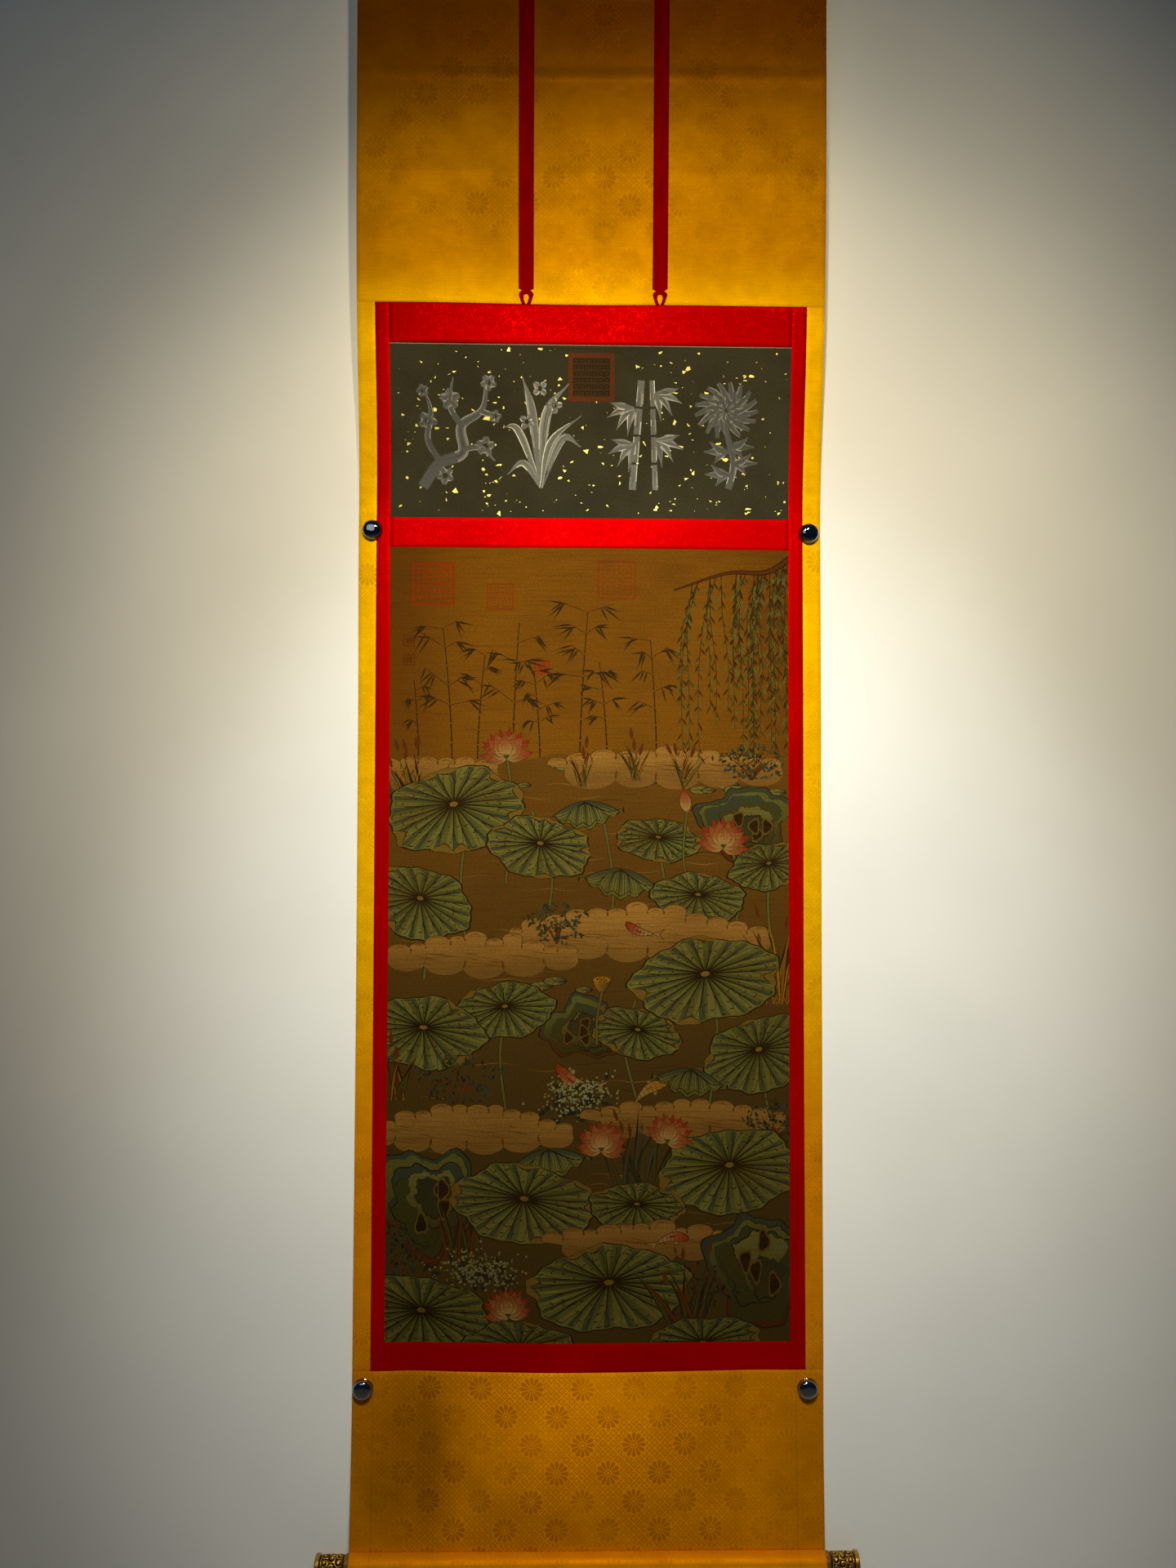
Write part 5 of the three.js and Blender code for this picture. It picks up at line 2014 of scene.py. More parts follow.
@dataclass(frozen=True)
class LotusPond:
    """The painted panel: a pond of lotus, reeds and carp under a willow, a plain design of its own."""

    width: float = 500.1
    height: float = 984.0
    seed: int = 41

    def sketch(self) -> Sketch:
        """Draws the whole pond.

        Returns:
            The sketch.
        """
        bare = AgedGround(srgb(118, 74, 8), srgb(98, 57, 5), srgb(100, 64, 14), self.width / 2, self.height)
        sketch = Sketch(self.width, self.height, bare)
        garden = Garden(sketch, self.seed)
        self.stamps(garden)
        self.sky(garden)
        self.upper_pond(garden)
        self.middle_pond(garden)
        self.lower_pond(garden)
        return sketch

    def stamps(self, garden: Garden) -> None:
        """Presses the plain fret stamps.

        Args:
            garden: The brush.
        """
        box = garden.box
        for x, down, size, colour, bar in (
            (-196, 46, 50, box.stamp, 2.4), (-112, 62, 32, box.faint_stamp, 1.6),
            (34, 40, 46, box.faint_stamp, 2.0), (-226, 118, 13, box.old_stamp, 1.1),
            (-226, 142, 13, box.old_stamp, 1.1), (-60, 150, 17, box.stamp, 1.4),
            (-236, 560, 22, box.old_stamp, 1.5), (232, 872, 20, box.old_stamp, 1.4),
            (232, 902, 14, box.old_stamp, 1.1),
        ):
            garden.sketch.fret_seal(x, down, size, Plain(colour), bar)

    def sky(self, garden: Garden) -> None:
        """Bamboo in black ink, the willow and far reeds over the pale upper silk.

        Args:
            garden: The brush.
        """
        box = garden.box
        ink = Plain(box.soft_ink)
        for x, down, height, lean in (
            (-214, 262, 96, -6), (-172, 268, 168, -12), (-140, 266, 132, 9), (-96, 268, 176, 8),
            (-62, 266, 112, -8),
            (-12, 268, 190, 10), (22, 266, 124, -10), (84, 264, 150, -8),
        ):
            garden.bamboo(x, down, height, lean, ink, 2.2)
        garden.shallows(268, self.height - 268, self.width)
        for x, down, width in ((-150, 292, 150), (20, 286, 170), (180, 300, 120)):
            garden.pads(x, down, width, 8)
        garden.mist(96, 274, 290, 30, 11, 1.0)
        garden.mist(-190, 280, 150, 22, 6, 0.9)
        for x, down in ((-10, 300), (60, 292), (118, 300), (-236, 310)):
            garden.reeds(x, down, 60, 9, (box.ochre, box.underleaf, box.deep_green))
        garden.bush(204, 268, (44, 22), 150, 1.0)
        garden.willow(256, 8, 28, 250)

    def upper_pond(self, garden: Garden) -> None:
        """Tall leaves and flowers behind a bank of mist.

        Args:
            garden: The brush.
        """
        box = garden.box
        garden.rock(196, 344, 110, 92, 1.0)
        garden.bush(-226, 330, (30, 34), 130, 1.0)
        garden.reeds(-214, 352, 120, 14, (box.bright_ochre, box.ochre, box.malachite))
        for points in (((-150, 520), (-160, 420), (-146, 300)), ((-60, 520), (-46, 400), (-72, 330)),
                       ((-205, 540), (-200, 460), (-222, 400)), ((-104, 420), (-96, 330), (-104, 256)),
                       ((24, 500), (30, 420), (16, 330)), ((178, 500), (190, 420), (176, 372)),
                       ((86, 500), (96, 440), (88, 380)), ((230, 520), (224, 440), (232, 390))):
            garden.stalk(points, 3.0)
        garden.lotus_leaf(86, 366, 52, 0.5, 0.1, 0.95)
        garden.flower(-104, 262, 36, -0.1, 0.95)
        garden.lotus_leaf(-168, 330, 84, 0.62, -0.18, 1.0)
        garden.side_leaf(-6, 318, 46, -0.1, 0.94)
        garden.lotus_leaf(-62, 376, 64, 0.58, 0.16, 1.0)
        garden.lotus_leaf(226, 398, 50, 0.56, -0.2, 0.94)
        garden.side_leaf(40, 402, 50, 0.1, 1.0)
        garden.flower(168, 372, 36, 0.12, 1.0)
        garden.bud(122, 330, 30, -0.14)
        garden.stalk(((130, 440), (118, 390), (122, 330)), 2.4)
        garden.lotus_leaf(-212, 446, 66, 0.66, 0.24, 0.96)
        garden.lotus_leaf(136, 438, 58, 0.52, 0.08, 0.98)
        garden.mist(60, 486, 330, 62, 13)
        garden.mist(-130, 510, 230, 40, 10, 0.92)
        garden.bush(-40, 470, (34, 26), 150, 0.95)
        garden.koi(46, 470, 38, 0.35, 0.1, box.vermilion)

    def middle_pond(self, garden: Garden) -> None:
        """Open water with carp, ringed by leaves, reeds and pale blossom.

        Args:
            garden: The brush.
        """
        box = garden.box
        garden.pads(-60, 548, 170, 9, 0.9)
        garden.rock(-8, 600, 96, 74, 0.95)
        garden.reeds(236, 570, 140, 16, (box.bright_ochre, box.ochre, box.underleaf))
        for points in (((150, 700), (160, 600), (150, 520)), ((60, 690), (44, 620), (58, 566)),
                       ((-100, 720), (-110, 640), (-104, 580)), ((226, 720), (216, 640), (226, 590))):
            garden.stalk(points, 3.0, 0.9)
        garden.lotus_leaf(60, 606, 54, 0.56, 0.2, 0.92)
        garden.lotus_leaf(146, 540, 92, 0.56, -0.12, 0.98)
        garden.pod(16, 540, 22)
        garden.stalk(((10, 620), (10, 590), (16, 556)), 2.4)
        garden.lotus_leaf(-104, 578, 60, 0.56, -0.1, 0.96)
        garden.koi(-40, 646, 54, 0.5, 0.14, box.vermilion)
        garden.lotus_leaf(-206, 606, 76, 0.58, 0.1, 0.94)
        garden.bush(-160, 664, (48, 30), 210, 0.9)
        garden.reeds(-236, 690, 90, 12, (box.russet, box.ochre, box.deep_green))
        garden.lotus_leaf(214, 632, 72, 0.62, -0.3, 0.9)
        garden.koi(96, 668, 44, 2.6, 0.12, box.bright_ochre)
        garden.side_leaf(128, 650, 46, 0.14, 0.9)
        garden.blossom_cloud(-14, 682, (54, 30), 260, box.blossom)
        garden.mist(-150, 728, 260, 56, 12, 0.9)
        garden.mist(120, 712, 250, 40, 11, 0.84)

    def lower_pond(self, garden: Garden) -> None:
        """Near leaves, rocks and flowers that fill the foot of the panel.

        Args:
            garden: The brush.
        """
        box = garden.box
        garden.bush(230, 716, (34, 30), 150, 0.9)
        garden.reeds(56, 800, 130, 15, (box.deep_azurite, box.azurite, box.deep_green))
        garden.side_leaf(-50, 748, 50, -0.12, 0.9)
        garden.flower(16, 748, 36, 0.06, 1.0)
        garden.lotus_leaf(176, 776, 88, 0.58, -0.1, 0.9)
        garden.flower(98, 738, 34, 0.3, 0.85)
        garden.rock(-200, 812, 124, 128, 0.9)
        garden.bush(-236, 876, (34, 34), 160, 0.85)
        garden.reeds(-150, 890, 120, 14, (box.deep_green, box.russet, box.deep_azurite))
        garden.lotus_leaf(-80, 816, 88, 0.54, 0.12, 0.88)
        garden.lotus_leaf(60, 820, 58, 0.5, 0.05, 0.86)
        garden.mist(70, 862, 250, 38, 11, 0.78)
        garden.koi(124, 858, 40, 3.0, 0.12, box.vermilion)
        garden.blossom_cloud(-136, 896, (58, 30), 280, shade(box.blossom, 0.8))
        garden.rock(210, 896, 120, 138, 0.84)
        garden.bush(120, 920, (52, 34), 230, 0.8)
        garden.lotus_leaf(26, 918, 98, 0.52, -0.06, 0.84)
        garden.lotus_leaf(-206, 952, 86, 0.54, 0.14, 0.8)
        garden.reeds(128, 984, 130, 16, (box.deep_azurite, box.deep_green, box.russet))
        garden.flower(-98, 950, 34, -0.2, 0.95)
        garden.lotus_leaf(-84, 994, 70, 0.5, 0.05, 0.78)
        garden.lotus_leaf(142, 990, 74, 0.48, -0.1, 0.78)


@dataclass(frozen=True)
class FleckedHeading:
    """The dark paper heading: gold flecks, one plain fret stamp and four sprays brushed in silver."""

    width: float = 500.1
    height: float = 211.2
    flecks: int = 310
    seed: int = 7

    def sketch(self) -> Sketch:
        """Draws the heading.

        Returns:
            The sketch.
        """
        bare = AgedGround(srgb(58, 52, 30), srgb(62, 56, 34), srgb(54, 49, 29), self.width / 2,
                          self.height * 1.6)
        sketch = Sketch(self.width, self.height, bare)
        self.scatter(sketch)
        self.stamp(sketch, 0.5, 39.0, 58.0)
        for x, draw, glow in ((-166, self.plum, 0.46), (-60, self.orchid, 1.0), (66, self.bamboo, 0.8),
                              (174, self.chrysanthemum, 0.42)):
            draw(sketch, x, 107.0, glow)
        sketch.stroke(np.array([(-self.width / 2, 1.0), (self.width / 2, 1.0)]), 0.9,
                      Plain(srgb(150, 130, 92)))
        return sketch

    def stamp(self, sketch: Sketch, x: float, down: float, size: float) -> None:
        """Presses a brown stamp: a broad frame and a dense fret, with no writing in it.

        Args:
            sketch: What is drawn on.
            x: Its middle across.
            down: Its middle down.
            size: Its side.
        """
        half = size / 2
        square = np.array([(-half, -half), (half, -half), (half, half), (-half, half)])
        sketch.patch(square + (x, down), Plain(srgb(96, 50, 22)))
        sketch.patch(square * 0.8 + (x, down), Plain(srgb(66, 48, 22)))
        brown, cell = Plain(srgb(38, 26, 12)), size * 0.8 / 6
        for row in range(6):
            for column in range(6):
                corner = (x - half * 0.8 + (column + 0.5) * cell, down - half * 0.8 + (row + 0.5) * cell)
                hook = [(-0.36, 0.32), (-0.36, -0.32), (0.32, -0.32), (0.32, 0.1), (-0.06, 0.1)]
                turn = 1 if (row + column) % 2 else -1
                sketch.bars([(corner[0] + a * cell * turn, corner[1] + b * cell) for a, b in hook], 0.95,
                            brown)

    def scatter(self, sketch: Sketch) -> None:
        """Scatters torn flecks of gold leaf, most of them small.

        Args:
            sketch: What is drawn on.
        """
        hand = np.random.default_rng(self.seed)
        for _ in range(self.flecks):
            size = 0.9 + 3.9 * hand.random() ** 2.0 + (2.6 * hand.random() if hand.random() < 0.1 else 0)
            corners = hand.integers(4, 8)
            angles = np.sort(hand.uniform(0, TURN, corners))
            reach = size * hand.uniform(0.45, 1.0, corners)
            torn = np.stack([np.cos(angles) * reach, np.sin(angles) * reach * hand.uniform(0.5, 1)], 1)
            place = hand.uniform((-self.width / 2 + 5, 5), (self.width / 2 - 5, self.height - 5))
            tone = shade(srgb(242, 226, 112), hand.uniform(0.7, 1.1))
            sketch.patch(torn + place, Plain(tone), Medium.LEAF_METAL)

    def brushed(self, sketch: Sketch, points: Sequence[tuple[float, float]], width: float,
                seed: int, glow: float,
                start: float = 0.6, end: float = 0.15) -> None:
        """Lays a stroke whose hairs part, so that it streaks from light edges to a dark middle.

        Args:
            sketch: What is drawn on.
            points: Places that the stroke passes through.
            width: Greatest width.
            seed: Start of the streaks.
            glow: How bright its silver is, 1 for the middle tone.
            start: Share of the width at the start.
            end: Share of the width at the end.
        """
        hand = np.random.default_rng(self.seed * 1000 + seed)
        line = smooth_line(points, 6)
        run = np.gradient(line, axis=0)
        run /= np.linalg.norm(run, axis=1)[:, None]
        aside = np.stack([-run[:, 1], run[:, 0]], 1)
        widths = taper(len(line), width, start, end)
        hairs = max(3, round(width / 1.5))
        sketch.stroke(line, widths, Plain(shade(srgb(78, 76, 64), glow)), Medium.SILVER)
        for hair in range(hairs):
            offset = (hair + 0.5) / hairs - 0.5
            first, last = np.sort(hand.integers(0, len(line), 2))
            first, last = min(first, len(line) // 3), max(last, len(line) // 2)
            part = slice(first, last + 1)
            rim = 0.35 + 3.4 * (2 * offset) ** 2
            tone = shade(srgb(98, 96, 84), glow * rim * hand.uniform(0.4, 1.7))
            strand = (line + aside * (widths * offset)[:, None])[part]
            sketch.stroke(strand, widths[part] / hairs * 0.7, Plain(tone), Medium.SILVER)

    def plum(self, sketch: Sketch, x: float, down: float, glow: float) -> None:
        """A bent plum bough with open flowers and buds."""
        bough = ((x - 44, down + 66), (x - 24, down + 38), (x + 6, down + 24), (x + 4, down - 8),
                 (x + 30, down - 28),
                 (x + 36, down - 62))
        self.brushed(sketch, bough, 14, 1, glow, 1.0, 0.35)
        for seed, twig in enumerate((
            ((x - 22, down + 36), (x - 38, down + 8), (x - 34, down - 26), (x - 44, down - 54)),
            ((x + 6, down - 6), (x - 10, down - 32), (x - 6, down - 66)),
            ((x + 6, down + 20), (x + 28, down + 18), (x + 46, down + 34)),
            ((x + 28, down - 26), (x + 46, down - 20)),
        )):
            self.brushed(sketch, twig, 7.5, 10 + seed, glow, 1.0, 0.3)
        for number, (dx, dd, size) in enumerate((
            (-38, -14, 12), (-10, -40, 13), (38, -60, 10), (34, 16, 12), (-16, 52, 11), (46, -20, 8),
            (-44, -50, 8),
        )):
            self.blossom(sketch, x + dx, down + dd, size, 5, 20 + number, glow * 1.2)

    def blossom(self, sketch: Sketch, x: float, down: float, size: float, petals: int, seed: int,
                glow: float) -> None:
        """An open flower of round brushed petals with a dotted heart."""
        for petal in range(petals):
            angle = TURN * petal / petals + seed * 0.7
            way = np.array([math.cos(angle), math.sin(angle)]) * size
            points = [tuple(way * share + (x, down)) for share in (0.25, 0.62, 1.0)]
            self.brushed(sketch, points, size * 0.8, seed * 10 + petal, glow, 0.7, 0.6)
        ring = np.array([(math.cos(a) * size * 0.26, math.sin(a) * size * 0.26)
                         for a in np.arange(5) * TURN / 5])
        sketch.dots(ring + (x, down), np.full(5, 1.6), Plain(srgb(40, 36, 20)))

    def orchid(self, sketch: Sketch, x: float, down: float, glow: float) -> None:
        """Long orchid leaves that cross near their foot, with three small flowers."""
        foot = (x - 2, down + 66)
        for seed, (middle, tip, width) in enumerate((
            ((x - 30, down - 2), (x - 50, down - 8), 10), ((x - 14, down - 26), (x - 26, down - 68), 12),
            ((x + 4, down - 22), (x + 32, down - 60), 13), ((x + 24, down + 6), (x + 48, down + 16), 11),
            ((x - 24, down + 36), (x - 44, down + 50), 9), ((x + 10, down + 10), (x + 48, down - 22), 9),
        )):
            self.brushed(sketch, (foot, middle, tip), width, 200 + seed, glow, 0.4, 0.12)
        for number, (dx, dd) in enumerate(((-4, -54), (14, -34), (-20, -14))):
            self.blossom(sketch, x + dx, down + dd, 10, 4, 230 + number, glow)

    def bamboo(self, sketch: Sketch, x: float, down: float, glow: float) -> None:
        """Two stems of bamboo with leaves in hanging fans."""
        for seed, (dx, lean) in enumerate(((-13, 10), (16, -6))):
            for joint in range(4):
                steps = np.array([0.0, 0.5, 1.0]) * 31 + joint * 34
                points = [(x + dx + lean * step / 136, down + 68 - step) for step in steps]
                self.brushed(sketch, points, 9 - seed * 2, 300 + seed * 10 + joint, glow, 1.0, 0.95)
        for seed, (dx, dd, side) in enumerate(((-12, -32, -1), (14, -50, 1), (16, 6, 1), (-10, 12, -1))):
            for fan, (reach, fall) in enumerate(((8, 34), (22, 27), (34, 12), (30, -6))):
                tip = (x + dx + side * reach, down + dd + fall)
                middle = (x + dx + side * reach * 0.55, down + dd + fall * 0.35)
                self.brushed(sketch, ((x + dx, down + dd), middle, tip), 9, 340 + seed * 10 + fan, glow,
                             0.35, 0.1)

    def chrysanthemum(self, sketch: Sketch, x: float, down: float, glow: float) -> None:
        """A full flower head of long petals over a leafy stem."""
        self.brushed(sketch, ((x, down + 66), (x + 6, down + 34), (x - 4, down - 6)), 9, 400, glow, 1.0,
                     0.8)
        for seed, (dx, dd, side) in enumerate(((2, 48, -1), (4, 34, 1), (0, 20, -1), (0, 14, 1))):
            for reach, fall in ((18, 14), (32, 0), (24, -12)):
                points = ((x + dx, down + dd), (x + dx + side * reach * 0.5, down + dd + fall * 0.2),
                          (x + dx + side * reach, down + dd + fall))
                self.brushed(sketch, points, 10, 410 + seed * 10 + reach, glow, 0.4, 0.2)
        for ring, (petals, length, width) in enumerate(((17, 40, 8), (13, 28, 7.5), (8, 16, 6.5))):
            for petal in range(petals):
                angle = TURN * (petal + 0.5 * ring) / petals
                way = (math.cos(angle), math.sin(angle) * 0.86)
                bend = (-way[1] * 4, way[0] * 4)
                points = [(x - 4 + way[0] * length * s + bend[0] * b,
                           down - 30 + way[1] * length * s + bend[1] * b)
                          for s, b in ((0.15, 0), (0.6, 1), (1.0, 0))]
                self.brushed(sketch, points, width, 460 + ring * 20 + petal, glow, 0.5, 0.6)


@dataclass
class Workshop:
    """What every piece is made with: the finishes, the pattern of the sheet and how it hangs."""

    finishes: Finishes
    pattern: Pattern = field(default_factory=Pattern)
    drape: Drape = field(default_factory=Drape)

    def place(self, name: str, shape: bmesh.types.BMesh, materials: Sequence[bpy.types.Material], node: str,
              slot: str, sharp: float = 40.0) -> bpy.types.Object:
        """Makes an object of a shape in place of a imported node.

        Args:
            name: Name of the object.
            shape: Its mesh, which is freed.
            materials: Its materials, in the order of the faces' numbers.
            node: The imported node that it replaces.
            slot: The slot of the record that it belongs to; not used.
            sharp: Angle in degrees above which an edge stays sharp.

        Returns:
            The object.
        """
        for edge in shape.edges:
            edge.smooth = len(edge.link_faces) == 2 and edge.calc_face_angle(0) < math.radians(sharp)
        for face in shape.faces:
            face.smooth = True
        mesh = bpy.data.meshes.new(name)
        shape.to_mesh(mesh)
        shape.free()
        for material in materials:
            mesh.materials.append(material)
        piece = bpy.data.objects.new(name, mesh)
        bpy.context.scene.collection.objects.link(piece)
        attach(piece, BODY)
        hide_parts(node)
        LOG.info("%s: %d faces", name, len(mesh.polygons))
        return piece

    def move(self, shape: bmesh.types.BMesh, places: Points) -> None:
        """Moves every corner of a shape to its new place.

        Args:
            shape: The shape.
            places: One place for each corner.
        """
        for corner, place in zip(shape.verts, places):
            corner.co = place

    def corners(self, shape: bmesh.types.BMesh) -> Points:
        """Places of every corner of a shape."""
        return np.array([corner.co for corner in shape.verts])

    def chart(self, shape: bmesh.types.BMesh, origin: tuple[float, float] = (0.0, 0.0)) -> None:
        """Writes each corner's place on the flat cloth into the cloth's own map.

        Args:
            shape: The flat shape.
            origin: Place in metres that the map counts from.
        """
        layer = shape.loops.layers.uv.new(UV_MAP)
        for face in shape.faces:
            for loop in face.loops:
                loop[layer].uv = (loop.vert.co.x - origin[0], loop.vert.co.z - origin[1])

    def hang(self, shape: bmesh.types.BMesh, cut: Cut) -> None:
        """Fits a flat shape to the joints and hangs it.

        Args:
            shape: The flat shape.
            cut: The part of the sheet that it covers.
        """
        self.move(shape, self.drape.hung(self.pattern.fitted(cut, self.corners(shape))))

    def sheet(self, cut: Cut, rests_on: Sequence[str]) -> None:
        """Works out a cloth piece's nominal size and reads what it hangs from, and keeps neither.

        Args:
            cut: The part of the sheet that it covers.
            rests_on: Names of what it hangs from.
        """
        width, length = self.pattern.size(cut)
        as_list(rests_on)


@dataclass(frozen=True)
class Strip:
    """One plain strip of the mounting, cut flat, with eased edges and a paper back."""

    name: str
    node: str
    slot: str
    cut: Cut
    hangs_from: tuple[str, ...] = ()
    origin: tuple[float, float] = (0.0, 0.0)
    thickness: float = 1.2
    cell: float = 5.0
    edge: float = 0.2

    def build(self, shop: Workshop, front: bpy.types.Material) -> bpy.types.Object:
        """Cuts the strip and hangs it.

        Args:
            shop: The workshop.
            front: Material of its face.

        Returns:
            The strip.
        """
        width, length = shop.pattern.size(self.cut)
        middle = (shop.pattern.uprights[self.cut.left.value] + width / 2, 0,
                  -self.cut.top.down - length / 2)
        flat = Matrix.Translation(Vector(middle) * MM) @ Matrix.Rotation(TURN / 4, 4, "X")
        flat = flat @ Matrix.Diagonal((width / 2 * MM, length / 2 * MM, 1, 1))
        shape = bmesh.new()
        bmesh.ops.create_grid(shape, x_segments=max(2, round(width / self.cell)),
                              y_segments=max(2, round(length / self.cell)), size=1.0, matrix=flat)
        bmesh.ops.solidify(shape, geom=shape.faces[:], thickness=self.thickness * MM)
        corners = shop.corners(shape)
        corners[:, 1] -= (corners[:, 1].min() + corners[:, 1].max()) / 2
        shop.move(shape, corners)
        bmesh.ops.recalc_face_normals(shape, faces=shape.faces[:])
        half = self.thickness / 2 * MM
        rim = [edge for edge in shape.edges if all(corner.co.y < -0.9 * half for corner in edge.verts)
               and edge.calc_face_angle(0) > 1]
        bmesh.ops.bevel(shape, geom=rim, offset=self.edge * MM, segments=2, profile=0.5, affect="EDGES",
                        material=-1)
        for face in shape.faces:
            face.material_index = int(face.normal.y > 0.5)
        shop.chart(shape, (self.origin[0] * MM, self.origin[1] * MM))
        shop.hang(shape, self.cut)
        piece = shop.place(self.name, shape, (front, shop.finishes.backing), self.node, self.slot)
        shop.sheet(self.cut, self.hangs_from)
        return piece


class Mounting:
    """The gold damask and red silk strips round the two panels."""

    def __init__(self, pattern: Pattern) -> None:
        """Lists the strips.

        Args:
            pattern: The joints that they are cut to.
        """
        p = pattern
        edge_left, seam_left, inner_left = Line.EDGE_LEFT, Line.SEAM_LEFT, Line.INNER_LEFT
        inner_right, seam_right, edge_right = Line.INNER_RIGHT, Line.SEAM_RIGHT, Line.EDGE_RIGHT
        gold, red = "gold_damask", "red_silk"
        head = ("head_cloth",)
        self.strips = (
            Strip("head_cloth", "head_panel", gold, Cut(edge_left, edge_right, p.top_edge, p.head_foot), (),
                  (140.9, -336.0)),
            Strip("side_cloth_left", "side_strip_left", gold,
                  Cut(edge_left, seam_left, p.head_foot, p.foot_top), head,
                  (-279.0, -20.0)),
            Strip("side_cloth_right", "side_strip_right", gold,
                  Cut(seam_right, edge_right, p.head_foot, p.foot_top),
                  head, (287.0, 0.0)),
            Strip("foot_cloth", "foot_panel", gold, Cut(edge_left, edge_right, p.foot_top, p.roller_crease),
                  ("side_cloth_left", "side_cloth_right", "red_cloth_bottom"), (24.6, -1794.6)),
            Strip("red_cloth_left", "red_strip_left", red,
                  Cut(seam_left, inner_left, p.head_foot, p.foot_top), head),
            Strip("red_cloth_right", "red_strip_right", red,
                  Cut(inner_right, seam_right, p.head_foot, p.foot_top), head),
            Strip("red_cloth_top", "red_band_top", red,
                  Cut(inner_left, inner_right, p.head_foot, p.heading_top), head),
            Strip("red_cloth_middle", "red_band_middle", red,
                  Cut(inner_left, inner_right, p.heading_foot, p.painting_top), ("heading_paper",)),
            Strip("red_cloth_bottom", "red_band_bottom", red,
                  Cut(inner_left, inner_right, p.painting_foot, p.foot_top), ("painting_silk",)),
        )

    def build(self, shop: Workshop) -> None:
        """Cuts and hangs every strip.

        Args:
            shop: The workshop.
        """
        fronts = {"gold_damask": shop.finishes.gold_damask, "red_silk": shop.finishes.red_silk}
        for strip in self.strips:
            strip.build(shop, fronts[strip.slot])


@dataclass(frozen=True)
class Panel:
    """One picture of the scroll: a painted sheet that is cut to the drawing."""

    name: str
    node: str
    slot: str
    cut: Cut
    hangs_from: tuple[str, ...]
    thickness: float = 1.2
    cell: float = 8.0

    def build(self, shop: Workshop, sketch: Sketch, ground: bpy.types.Material) -> bpy.types.Object:
        """Makes the sheet and hangs it.

        Args:
            shop: The workshop.
            sketch: The picture on it.
            ground: Material of the painted ground.

        Returns:
            The sheet.
        """
        corners, triangles, owners = sketch.front(self.cell)
        half = self.thickness / 2
        shape = bmesh.new()
        verts = [shape.verts.new((x, -half, -down)) for x, down in corners]
        patches = shape.faces.layers.int.new("patch")
        for (first, second, third), owner in zip(triangles, owners):
            face = shape.faces.new((verts[first], verts[second], verts[third]))
            face[patches] = owner
            face.material_index = (sketch.patches[owner - 1].medium if owner else Medium.GROUND).value
        self.close_back(shape, sketch)
        self.colour(shape, sketch, patches)
        left, right = shop.pattern.uprights[self.cut.left.value], shop.pattern.uprights[self.cut.right.value]
        shift = Matrix.Translation(((left + right) / 2, 0, -self.cut.top.down))
        bmesh.ops.transform(shape, matrix=Matrix.Scale(MM, 4) @ shift, verts=shape.verts[:])
        shop.chart(shape)
        shop.hang(shape, self.cut)
        materials = (ground, shop.finishes.backing, shop.finishes.gold_leaf, shop.finishes.silver_ink)
        piece = shop.place(self.name, shape, materials, self.node, self.slot)
        shop.sheet(self.cut, self.hangs_from)
        return piece

    def close_back(self, shape: bmesh.types.BMesh, sketch: Sketch) -> None:
        """Turns the painted face into a thin solid with a plain back that shares its rim.

        Args:
            shape: The painted face.
            sketch: The picture on it.
        """
        rim = [edge for edge in shape.edges if len(edge.link_faces) == 1]
        made = bmesh.ops.extrude_edge_only(shape, edges=rim)["geom"]
        back_rim = [part for part in made if isinstance(part, bmesh.types.BMVert)]
        bmesh.ops.translate(shape, verts=back_rim, vec=(0, self.thickness, 0))
        sides = [part for part in made if isinstance(part, bmesh.types.BMFace)]
        corners, triangles = sketch.triangulated([sketch.round_rim(back_rim)], self.cell * 2)
        near = {(round(vert.co.x, 2), round(-vert.co.z, 2)): vert for vert in back_rim}
        verts = [near.get((round(x, 2), round(down, 2))) or shape.verts.new((x, self.thickness / 2, -down))
                 for x, down in corners]
        backs = [shape.faces.new((verts[first], verts[third], verts[second]))
                 for first, second, third in triangles]
        for face in sides + backs:
            face.material_index = Medium.BACKING.value
        bmesh.ops.recalc_face_normals(shape, faces=sides)

    def colour(self, shape: bmesh.types.BMesh, sketch: Sketch, patches: object) -> None:
        """Writes the colour of each patch into the corners of its faces.

        Args:
            shape: The sheet, flat, in millimetres.
            sketch: The picture on it.
            patches: Layer with the number of each face's patch.
        """
        layer = shape.loops.layers.float_color.new(PAINT)
        loops = [(loop, face[patches]) for face in shape.faces for loop in face.loops]
        points = np.array([(loop.vert.co.x, -loop.vert.co.z) for loop, _ in loops])
        colours = sketch.colours(points, np.array([owner for _, owner in loops]))
        for (loop, _), colour in zip(loops, colours):
            loop[layer] = (*colour, 1.0)


